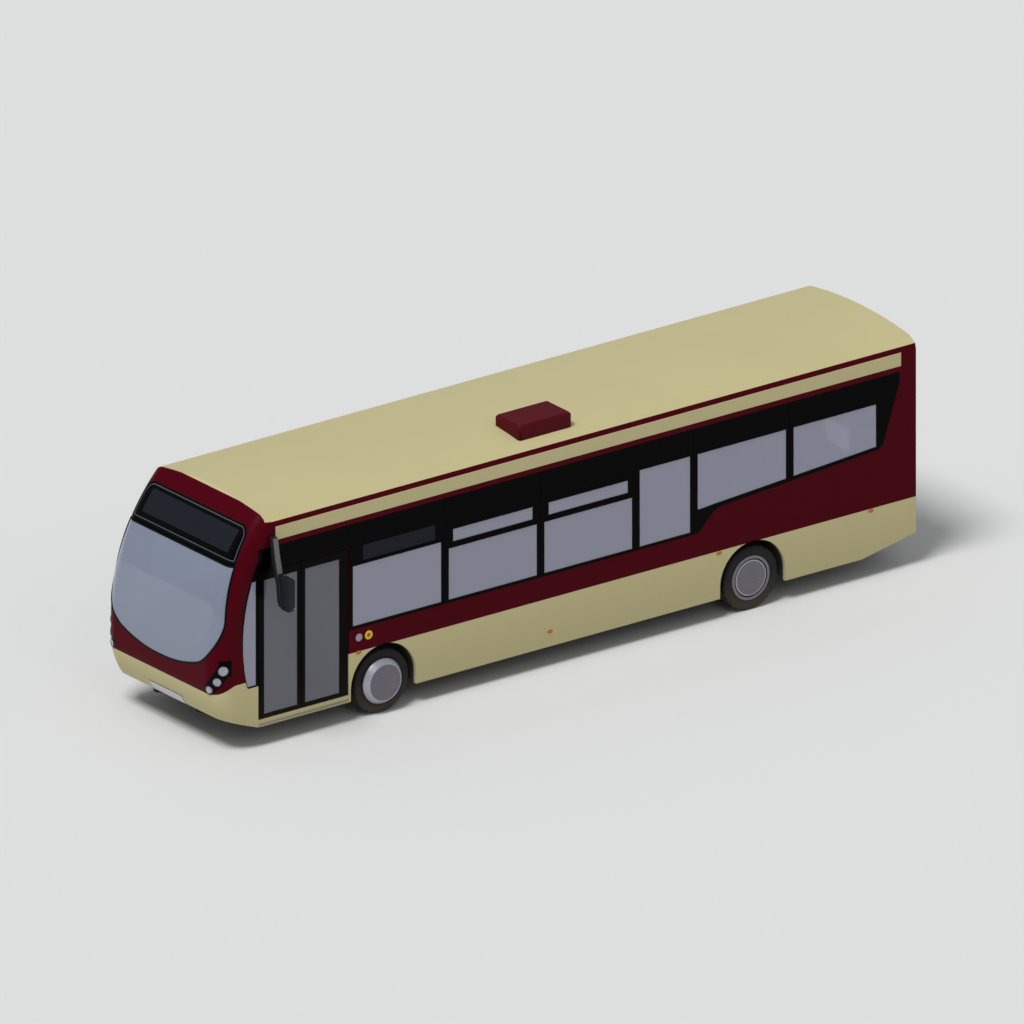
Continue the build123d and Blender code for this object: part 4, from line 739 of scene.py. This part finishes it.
trim_outlines = {
    "front": [
        (-0.064, 0.0505), (0.0015, 0.0015), (0.0035, -0.003), (0.0035, -0.01), (0.001, -0.012),
        (-0.004, -0.01), (-0.068, 0.045), (-0.064, 0.0505),
    ],
    "rear": [
        (-0.004, 0.003), (0.0025, 0.002), (0.004, -0.003), (0.003, -0.012), (-0.003, -0.014), (-0.004, 0.003),
    ],
}
plate_hub = [(0.0012, 0.0), (0.0012, 0.046), (0.0045, 0.05), (0.005, 0.066), (0.0012, 0.072)]
plate_rim = [(0.0012, -0.045), (0.003, -0.04), (0.003, -0.02), (0.0012, -0.013), (-0.004, -0.013)]
screw_profile = [(-0.002, 0.0), (-0.002, 0.009), (0.004, 0.009), (0.0055, 0.006), (0.0055, 0.0)]
for row in cover_rows:
    cover = dict(zip(cover_columns, row))
    edge = cover["radius"]
    trim_profile = [(x, edge + out) for x, out in trim_outlines[cover["end"]]]
    plate_profile = plate_hub + [(x, edge + out) for x, out in plate_rim] + [(-0.004, 0.0)]
    for side, sign in (("left", 1), ("right", -1)):
        node = f"{cover['end']}_cover_{side}"
        trim = turned(f"{node}_trim", trim_profile)
        plate = turned(f"{node}_plate", plate_profile)
        screws = ring_of(turned("screw", screw_profile, 6), f"{node}_screws", screw_count, edge * screw_circle)
        for piece, material in ((trim, trim_grey), (plate, cover_grey), (screws, screw_steel)):
            set_at(piece, (sign * cover["out"], cover["axle_y"], hub_z), (sign, 0, 0))
            fit(piece, material, 30, f"{cover['group']}_{side}")

# Headlamps
# Three round lamps stand one over the other on each front corner, in a glossy black housing. Each
# has a bright bowl, a bulb, a dark ring and a fluted clear lens.
lamp_columns = ("inset", "height", "radius")
lamp_rows = [(0.175, 0.9, 0.056), (0.078, 1.019, 0.062), (0.03, 1.17, 0.072)]
half_width = 1.2
corner_round = 0.25
corner_front_y = -5.58
housing_black = finish("housing_gloss", (5, 5, 6), 0.18, coat=0.03, shine=0.06, dust_top=1.4, dust_amount=0.05)
bowl_silver = finish("reflector_silver", (216, 214, 228), 0.32, metallic=0.35, coat=0.3, **clean)
ring_dark = finish("lamp_ring", (26, 26, 29), 0.3, metallic=0.4, dust_amount=0.1)


def lens_material(name, tint, through):
    """A pressed lens with fine upright flutes."""
    material = glass(name, tint, through, 0.08, 0.3, 1.5)
    tree = material.node_tree
    at = put(tree, "TexCoord").outputs["Object"]
    flutes = put(tree, "TexWave", {"bands_direction": "DIAGONAL"}, Vector=at, Scale=60.0, Distortion=0.4)
    relief = put(tree, "Bump", Strength=0.25, Distance=0.001, Height=flutes.outputs["Fac"])
    tree.links.new(relief.outputs[0], tree.nodes["Principled BSDF"].inputs["Normal"])
    return material


clear_lens = lens_material("clear_lens", (236, 236, 246), 0.8)
smooth_skin("headlamp_housings", housing_black)
lamp_outlines = {
    "bowl": [
        (-0.006, 1, -0.003), (-0.016, 0.86, 0), (-0.026, 0.6, 0), (-0.032, 0.28, 0), (-0.033, 0, 0),
        (-0.036, 0, 0), (-0.035, 0.3, 0), (-0.029, 0.63, 0), (-0.018, 0.9, 0), (-0.008, 1, -0.0006),
        (-0.006, 1, -0.003),
    ],
    "lens": [
        (-0.001, 1, -0.006), (0.0015, 0.72, 0), (0.0032, 0.42, 0), (0.004, 0, 0), (0.0015, 0, 0),
        (0.0008, 0.42, 0), (-0.001, 0.72, 0), (-0.004, 1, -0.006), (-0.001, 1, -0.006),
    ],
    "ring": [
        (-0.006, 1, -0.0004), (0.002, 1, -0.0004), (0.0038, 1, -0.003), (0.003, 1, -0.007),
        (-0.005, 1, -0.008), (-0.006, 1, -0.0004),
    ],
    "bulb": [
        (-0.033, 0, 0), (-0.033, 0, 0.01), (-0.024, 0, 0.01), (-0.022, 0, 0.007), (-0.014, 0, 0.007),
        (-0.01, 0, 0.004), (-0.009, 0, 0),
    ],
}
lamp_finishes = {"bowl": bowl_silver, "lens": clear_lens, "ring": ring_dark, "bulb": clear_lens}
lamp_parts = {part: [] for part in lamp_outlines}
for side in (-1, 1):
    for row in lamp_rows:
        lamp = dict(zip(lamp_columns, row))
        sine = 1 - lamp["inset"] / corner_round
        cosine = math.sqrt(1 - sine**2)
        lamp_y = corner_front_y + corner_round * (1 - cosine)
        origin = (side * (half_width - lamp["inset"]), lamp_y, lamp["height"])
        for part, points in lamp_outlines.items():
            outline = [(x, lamp["radius"] * share + plus) for x, share, plus in points]
            made = turned(f"{part}_{side}_{lamp['height']}", outline, 40)
            lamp_parts[part].append(set_at(made, origin, (side * sine, -cosine, 0)))
for part, made in lamp_parts.items():
    piece = join(made, f"headlamp_{part}s")
    fit(piece, lamp_finishes[part], 35)
    if part in ("bowl", "lens"):
        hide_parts("headlamp_lenses")

# Tail lamps
# Four round lamps stand one over the other at each rear corner: an amber one for turning, two red
# ones, and a clear one for backing. Each sits in a dark ring.
amber_lens = lens_material("amber_lens", (226, 120, 18), 0.35)
red_lens = lens_material("red_lens", (190, 16, 18), 0.35)
tail_rows = [(1.64, amber_lens), (1.51, red_lens), (1.38, red_lens), (1.25, clear_lens)]
tail_dome = [(-0.01, 0.0), (-0.01, 0.042), (0.003, 0.042), (0.0052, 0.036), (0.007, 0.02), (0.0078, 0.0)]
tail_rim = [
    (-0.012, 0.0425), (-0.012, 0.048), (0.004, 0.048), (0.006, 0.0455), (0.005, 0.0425), (-0.012, 0.0425),
]
tail_x = 1.08
rear_y = 5.58
for place, (lamp_z, lens_colour) in enumerate(tail_rows):
    for outline, part, material in ((tail_dome, "lens", lens_colour), (tail_rim, "ring", ring_dark)):
        pair = [
            set_at(turned(f"tail_{part}_{side}", outline, 40), (side * tail_x, rear_y, lamp_z), (0, 1, 0))
            for side in (-1, 1)
        ]
        piece = join(pair, f"tail_lamp_{part}_{place}")
        fit(piece, material, 40)
        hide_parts("tail_lamps")

# Mirrors
# A moulded black arm reaches out from each side over the windscreen corner and down to a rounded
# head, whose glass looks back along the side.
mirror_shell = finish("mirror_shell", (38, 39, 43), 0.45, shine=0.15, bump=0.05, patch=0.2, dust_amount=0.05)
mirror_strip = finish("mirror_strip", (104, 102, 100), 0.5, bump=0.04, patch=0.2, **clean)
mirror_glass = finish("mirror_glass", (190, 196, 204), 0.04, metallic=1.0, bump=0.0, patch=0.02, **clean)


def limb(name, rings):
    """A piece drawn down through flat rings of (x, y, z, half x, half y)."""
    bpy.ops.mesh.primitive_plane_add(size=2, location=rings[0][:3])
    made = bpy.context.object
    made.name = name
    made.scale = (*rings[0][3:], 1)
    edit(settle(made))
    bpy.ops.mesh.select_mode(type="FACE")
    for before, after in zip(rings, rings[1:]):
        step = tuple(b - a for a, b in zip(before[:3], after[:3]))
        bpy.ops.mesh.extrude_region_move(TRANSFORM_OT_translate={"value": step})
        grow = (after[3] / before[3], after[4] / before[4], 1)
        bpy.ops.transform.resize(value=grow, center_override=after[:3])
    bpy.ops.mesh.select_all(action="SELECT")
    bpy.ops.mesh.normals_make_consistent(inside=False)
    stop_editing()
    return made


arm_rings = [
    (1.248, -4.7, 2.86, 0.03, 0.042), (1.256, -4.7, 2.78, 0.036, 0.048),
    (1.29, -4.7, 2.58, 0.038, 0.05), (1.34, -4.698, 2.38, 0.04, 0.05),
    (1.374, -4.69, 2.26, 0.04, 0.048), (1.388, -4.688, 2.03, 0.036, 0.044), (1.4, -4.686, 1.945, 0.026, 0.036),
]
head_rings = [
    (1.486, -4.662, 2.37, 0.084, 0.036), (1.488, -4.662, 2.345, 0.104, 0.046),
    (1.488, -4.662, 1.985, 0.102, 0.046), (1.48, -4.662, 1.925, 0.086, 0.04),
    (1.474, -4.662, 1.91, 0.066, 0.032),
]
strip_rings = [
    (1.284, -4.7, 2.85, 0.006, 0.034), (1.33, -4.7, 2.59, 0.006, 0.038), (1.378, -4.698, 2.395, 0.006, 0.038),
]
foot_box = ((1.2, -4.735, 2.79), (1.262, -4.665, 2.855))
pane_boxes = (((1.4, -4.622, 2.05), (1.576, -4.6135, 2.33)), ((1.4, -4.622, 1.95), (1.576, -4.6135, 2.035)))
for side, side_name in ((1, "left"), (-1, "right")):
    limbs = {}
    for part, rings, width, segments, angle in (
        ("arm", arm_rings, 0.012, 3, 40), ("head", head_rings, 0.018, 3, 20),
        ("strip", strip_rings, 0.003, 2, 40),
    ):
        limbs[part] = limb(f"mirror_{part}_{side_name}", [(side * ring[0], *ring[1:]) for ring in rings])
        bevel_all(limbs[part], width, segments, angle)
    foot = block(f"mirror_foot_{side_name}", *((side * x, y, z) for x, y, z in foot_box))
    bevel_all(foot, 0.008)
    mirror_panes = [block("mirror_pane", *((side * x, y, z) for x, y, z in box)) for box in pane_boxes]
    pane_pair = bevel_all(join(mirror_panes, f"mirror_panes_{side_name}"), 0.002)
    shell = join([limbs["arm"], limbs["head"], foot], f"mirror_shell_{side_name}")
    for piece, material in ((shell, mirror_shell), (limbs["strip"], mirror_strip), (pane_pair, mirror_glass)):
        fit(piece, material)
        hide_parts("mirrors")

# Side fittings
# Amber marker lamps along both sides, the door's outside button in its yellow ring, and a round
# cover beside it.
marker_places = [(-3.314, 0.93), (-0.258, 0.487), (2.436, 0.914), (4.857, 0.915)]
amber_marker = finish("amber_marker", (178, 98, 14), 0.2, coat=0.4, **clean)
fitting_yellow = finish("button_yellow", (214, 190, 10), 0.35, coat=0.2, dust_amount=0.05)
fitting_red = finish("button_red", (206, 18, 12), 0.3, coat=0.3, **clean)
fitting_grey = finish("cover_grey", (150, 149, 160), 0.4, metallic=0.2, dust_amount=0.1)
marker_dome = [(-0.004, 0.0), (-0.004, 0.026), (0.005, 0.024), (0.008, 0.014), (0.009, 0.0)]
marker_stretch = 1.75
ring_outline = [
    (-0.003, 0.026), (-0.003, 0.06), (0.004, 0.06), (0.008, 0.052), (0.008, 0.034), (0.004, 0.026),
    (-0.003, 0.026),
]
button_dome = [(-0.003, 0.0), (-0.003, 0.024), (0.006, 0.022), (0.008, 0.012), (0.009, 0.0)]
cover_dome = [(-0.003, 0.0), (-0.003, 0.052), (0.003, 0.052), (0.006, 0.046), (0.007, 0.0)]
markers = []
for side in (-1, 1):
    for along, up in marker_places:
        marker = turned(f"marker_{side}_{along}", marker_dome, 24)
        marker.scale = (1, marker_stretch, 1)
        markers.append(set_at(settle(marker), (side * half_width, along, up), (side, 0, 0)))
marker_row = join(markers, "side_markers")
fit(marker_row, amber_marker, 35)
for name, outline, steps, material, along, up in (
    ("button_ring", ring_outline, 40, fitting_yellow, -3.151, 1.133),
    ("door_button", button_dome, 32, fitting_red, -3.151, 1.133),
    ("lock_cover", cover_dome, 40, fitting_grey, -3.306, 1.134),
):
    piece = set_at(turned(name, outline, steps), (half_width, along, up))
    fit(piece, material, 35)

# Number plates
# A blank plate lies on the sloping chin of the bumper, and a blank yellow one on the engine door.
plate_pale = finish("plate_pale", (204, 194, 206), 0.3, coat=0.3, patch=0.05, dust_top=0.8, dust_amount=0.2)
plate_yellow = finish("plate_yellow", (216, 176, 30), 0.3, coat=0.3, patch=0.05, dust_top=0.9, dust_amount=0.2)
plate_frame = finish("plate_frame", (16, 16, 18), 0.4, dust_top=0.8, dust_amount=0.2)
plate_columns = ("end", "body", "half", "tall", "place", "facing", "material")
plate_rows = [
    ("front", "bus_body", 0.341, 0.14, (0, -5.4561, 0.524), (0, -0.872, -0.489), plate_pale),
    ("rear", "engine_door", 0.26, 0.111, (0, 5.58, 0.66), (0, 1, 0), plate_yellow),
]
frame_edge = 0.008
for row in plate_rows:
    plate = dict(zip(plate_columns, row))
    for part, edge, proud, material in (
        ("plate", 0, 0.0045, plate["material"]), ("plate_frame", frame_edge, 0.003, plate_frame),
    ):
        half, tall = plate["half"] + edge, plate["tall"] / 2 + edge
        piece = block(f"{plate['end']}_{part}", (-0.001, -half, -tall), (proud, half, tall))
        set_at(piece, plate["place"], plate["facing"])
        fit(bevel_all(piece, 0.0015), material, body=plate["body"])

# Rear
# The back window in its rubber seal, and the pull handle and two locks of the engine door, screwed on
# through its skin.
rear_rim = bare_copy("rear_window", "rear_rim")
seal_round(rear_rim, "rear_window_seal", [(0, 1, 0)], 0.01, rubber, lean=0.6)
bpy.data.objects.remove(rear_rim)
smooth_skin("rear_window", glass_smoke, angle=30)
lock_dome = [(-0.003, 0.0), (-0.003, 0.018), (0.003, 0.018), (0.005, 0.014), (0.005, 0.0)]
lock_x = 0.78
lock_z = 0.6
handle = bevel_all(block("engine_door_handle", (-0.11, 5.579, 0.985), (0.11, 5.587, 1.01)), 0.003)
locks = [set_at(turned("lock", lock_dome, 28), (x, rear_y, lock_z), (0, 1, 0)) for x in (-lock_x, lock_x)]
handle = join([handle, *locks], "engine_door_fittings")
fit(handle, plate_frame, body="engine_door")

# Underbody
# Black painted frame rails and cross members carry the axles, the air springs and the engine, all
# under road dirt.
frame_paint = finish("frame_paint", (20, 20, 21), 0.6, bump=0.1, patch=0.4, dust_top=1.0, dust_amount=0.4)
axle_paint = finish(
    "axle_paint", (38, 37, 36), 0.6, metallic=0.2, bump=0.15, patch=0.5, dust_top=1.0, dust_amount=0.4
)
engine_cast = finish(
    "engine_cast", (84, 86, 84), 0.55, metallic=0.4, bump=0.3, patch=0.5, dust_top=1.2, dust_amount=0.7
)
rod_steel = finish("rod_steel", (120, 118, 112), 0.45, metallic=0.7, patch=0.4, dust_top=0.8, dust_amount=0.8)
bellows = finish("bellows_rubber", (22, 22, 23), 0.7, bump=0.1, patch=0.3, dust_top=1.0, dust_amount=0.4)
arch_liner = finish("arch_liner", (38, 38, 39), 0.75, bump=0.2, patch=0.4, dust_top=1.2, dust_amount=0.35)
for node, material in (
    ("chassis_frame", frame_paint), ("front_axle", axle_paint), ("rear_axle", axle_paint),
    ("engine_block", engine_cast), ("air_springs", bellows), ("wheel_boxes", arch_liner),
):
    smooth_skin(node, material, 32)
for node, material in (("knuckle_left", axle_paint), ("knuckle_right", axle_paint), ("track_rod", rod_steel)):
    smooth_skin(node, material, 32, body=node)

# Saloon and cab
# Speckled vinyl on the floor, grey boxes and partition, moulded seat shells, yellow poles, and the
# driver's dashboard with its wheel.


def vinyl_specks(tree):
    """Fine pale specks in a grey vinyl, over a floor panel that is dark below."""
    at = put(tree, "TexCoord")
    cells = put(tree, "TexVoronoi", Vector=at.outputs["Object"], Scale=160.0)
    share = maths(tree, "LESS_THAN", cells.outputs["Distance"], 0.28)
    vinyl_tones = mixed(tree, share, linear(66, 70, 78), linear(120, 128, 140))
    facing = put(tree, "SeparateXYZ", Vector=at.outputs["Normal"]).outputs["Z"]
    return mixed(tree, maths(tree, "LESS_THAN", facing, -0.5), vinyl_tones, linear(20, 20, 21))


vinyl = finish("speckled_vinyl", vinyl_specks, 0.5, coat=0.1, patch=0.25, dust_top=2.0, dust_amount=0.4)
partition_grey = finish("partition_laminate", (140, 142, 146), 0.45, patch=0.15, dust_amount=0.1)
shell_grey = finish("seat_shell", (70, 74, 82), 0.5, bump=0.08, patch=0.2, dust_amount=0.1)
dash_grey = finish("dash_moulding", (46, 48, 52), 0.6, bump=0.2, grain_scale=300.0, patch=0.15, dust_amount=0.1)
grip_black = finish("wheel_grip", (18, 18, 19), 0.55, bump=0.1, patch=0.2, **clean)
for node, material, angle in (
    ("floor", vinyl, 28), ("cab_partition", partition_grey, 28), ("cab_door", partition_grey, 28),
    ("seat_frames", shell_grey, 28), ("handrails", rail_yellow, 40), ("dashboard", dash_grey, 30),
    ("steering_wheel", grip_black, 40),
):
    smooth_skin(node, material, angle, "cab_door" if node == "cab_door" else "bus_body")

hood = block("dash_hood", (-0.9, -5.33, 1.06), (-0.5, -5.17, 1.165))
slope_cut(hood, (0, -5.17, 1.1), (0, 1, 0.45))
bevel_all(hood, 0.012, 3)
console = bevel_all(block("switch_console", (-0.4, -5.2, 0.99), (-0.24, -5.02, 1.052)), 0.008)
hood = join([hood, console], "dash_hood")
dial_face = finish("dial_face", (14, 16, 20), 0.2, coat=0.3, **clean)
dial_metal = finish("dial_rim", (150, 152, 156), 0.3, metallic=0.7, **clean)
dial_disc = [(-0.004, 0.0), (-0.004, 0.04), (0.002, 0.04), (0.002, 0.0)]
dial_rim = [(-0.004, 0.04), (-0.004, 0.046), (0.005, 0.045), (0.005, 0.041), (0.001, 0.04), (-0.004, 0.04)]
dial_places = [(-0.76, -5.183, 1.128), (-0.64, -5.183, 1.128)]
dial_facing = (0, 0.912, 0.41)
for part, outline, material in (("faces", dial_disc, dial_face), ("rims", dial_rim, dial_metal)):
    dials = [set_at(turned("dial", outline, 36), place, dial_facing) for place in dial_places]
    dials = join(dials, f"dash_dial_{part}")
    fit(dials, material)
switch_caps = finish("switch_caps", (150, 152, 158), 0.4, **clean)
switches = []
for row in range(3):
    for place in range(4):
        x, y = -0.385 + 0.034 * place, -5.17 + 0.05 * row
        switches.append(block(f"switch_{row}_{place}", (x, y, 1.05), (x + 0.024, y + 0.035, 1.058)))
switches = bevel_all(join(switches, "dash_switches"), 0.002)
nosing = bevel_all(block("step_nosing", (1.085, -4.88, 0.36), (1.145, -3.49, 0.365)), 0.0015)
diffuser = finish("lamp_diffuser", (232, 232, 226), 0.5, patch=0.05, **clean)
strips = [block("ceiling_strip", (side * 0.5, -4.3, 3.112), (side * 0.6, 5.2, 3.138)) for side in (-1, 1)]
strips = bevel_all(join(strips, "ceiling_lamps"), 0.008)
for piece, material in ((hood, dash_grey), (switches, switch_caps), (nosing, rail_yellow), (strips, diffuser)):
    fit(piece, material)

# Seat cushions
# Every place has a squab and a back pad in woven moquette. One of each is filled with air as cloth,
# edged with piping, and copied to all the places; the driver's are wider.
seat_rows = [(-1.8, 0.782), (-1.05, 0.782), (-0.3, 0.782), (0.45, 0.782), (1.2, 0.782)]
seat_rows += [(2.95, 1.152), (3.7, 1.152), (4.45, 1.152), (5.25, 1.152)]
seat_middles = (0.4975, 0.9225)
driver_place = (-0.7, -3.95, 0.842, 1.156)
pad_voxel = 0.016
pad_pressure = 4.0
pad_travel = 0.022
pad_frames = 20
pad_round = 0.012
cord_radius = 0.004
cord_cuts = 7
back_tilt = math.radians(4.76)
back_place = (0, -0.0766, 0.373)


def moquette(tree):
    """A dark blue cloth with small maroon and grey blocks."""
    at = put(tree, "TexCoord").outputs["Object"]
    cells = put(tree, "TexVoronoi", {"distance": "CHEBYCHEV"}, Vector=at, Scale=34.0)
    tone = put(tree, "SeparateColor", Color=cells.outputs["Color"])
    blue = mixed(tree, maths(tree, "GREATER_THAN", tone.outputs[0], 0.62), linear(34, 38, 62), linear(112, 24, 36))
    return mixed(tree, maths(tree, "GREATER_THAN", tone.outputs[1], 0.84), blue, linear(140, 140, 150))


cloth_weave = finish("moquette", moquette, 0.85, bump=0.5, grain_scale=700.0, patch=0.2, **clean)
cloth_weave.node_tree.nodes["Principled BSDF"].inputs["Sheen Weight"].default_value = 0.4
piping_grey = finish("piping", (70, 70, 78), 0.6, bump=0.1, **clean)


def filled(piece):
    """Remeshes a closed pad and fills it with air as cloth, up to a limit on each point's travel."""
    altered(piece, "REMESH", mode="VOXEL", voxel_size=pad_voxel)
    starts = [vertex.co.copy() for vertex in piece.data.vertices]
    cloth = piece.modifiers.new("cloth", "CLOTH")
    cloth.settings.use_pressure = True
    cloth.settings.uniform_pressure_force = pad_pressure
    cloth.settings.effector_weights.gravity = 0.0
    for count in range(1, pad_frames + 1):
        bpy.context.scene.frame_set(count)
    bpy.ops.object.modifier_apply(modifier=cloth.name)
    for vertex, start in zip(piece.data.vertices, starts):
        travel = vertex.co - start
        if travel.length > pad_travel:
            vertex.co = start + travel.normalized() * pad_travel
    bpy.context.scene.frame_set(1)
    bpy.ops.object.shade_smooth()
    return piece


def piped(pad, name, centre, tilt, half_x, half_y):
    """A sewn piping round one face of a pad, laid on its cloth."""
    bpy.ops.mesh.primitive_plane_add(size=2, location=centre, rotation=(tilt, 0, 0))
    cord = bpy.context.object
    cord.name = name
    cord.scale = (half_x, half_y, 1)
    edit(settle(cord))
    bpy.ops.mesh.delete(type="ONLY_FACE")
    bpy.ops.mesh.select_all(action="SELECT")
    bpy.ops.mesh.subdivide(number_cuts=cord_cuts)
    stop_editing()
    altered(cord, "SHRINKWRAP", target=pad)
    bpy.ops.object.convert(target="CURVE")
    bpy.context.object.data.bevel_depth = cord_radius
    bpy.context.object.data.bevel_resolution = 0
    bpy.ops.object.convert(target="MESH")
    bpy.ops.object.shade_smooth()
    return bpy.context.object


squab = filled(bevel_all(block("squab", (-0.186, -0.459, 0.014), (0.186, -0.158, 0.05)), pad_round))
squab_cord = piped(squab, "squab_cord", (0, -0.3085, 0.06), 0, 0.184, 0.15)
back = filled(bevel_all(block("back", (-0.186, -0.018, -0.278), (0.186, 0.018, 0.278)), pad_round))
back_cord = piped(back, "back_cord", (0, -0.02, 0), math.radians(90), 0.184, 0.276)
for piece in (back, back_cord):
    piece.rotation_euler = (-back_tilt, 0, 0)
    piece.location = back_place
    settle(piece)
places = []
for along, low in seat_rows:
    for side in (-1, 1):
        places += [(side * middle, along, low, 1.0) for middle in seat_middles]
places.append(driver_place)
pad_finishes = ((squab, cloth_weave), (back, cloth_weave), (squab_cord, piping_grey), (back_cord, piping_grey))
for part, material in pad_finishes:
    dress(part, material)
    row = []
    for x, y, low, wider in places:
        pad = own_copy(part, f"{part.name}_{len(row)}")
        pad.scale = (wider, 1, 1)
        pad.location = (x, y, low)
        row.append(settle(pad))
    name = f"{part.name}_row"
    bpy.data.objects.remove(part)
    piece = join(row, name)
    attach(piece, "bus_body")
    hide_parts("seat_cushions")
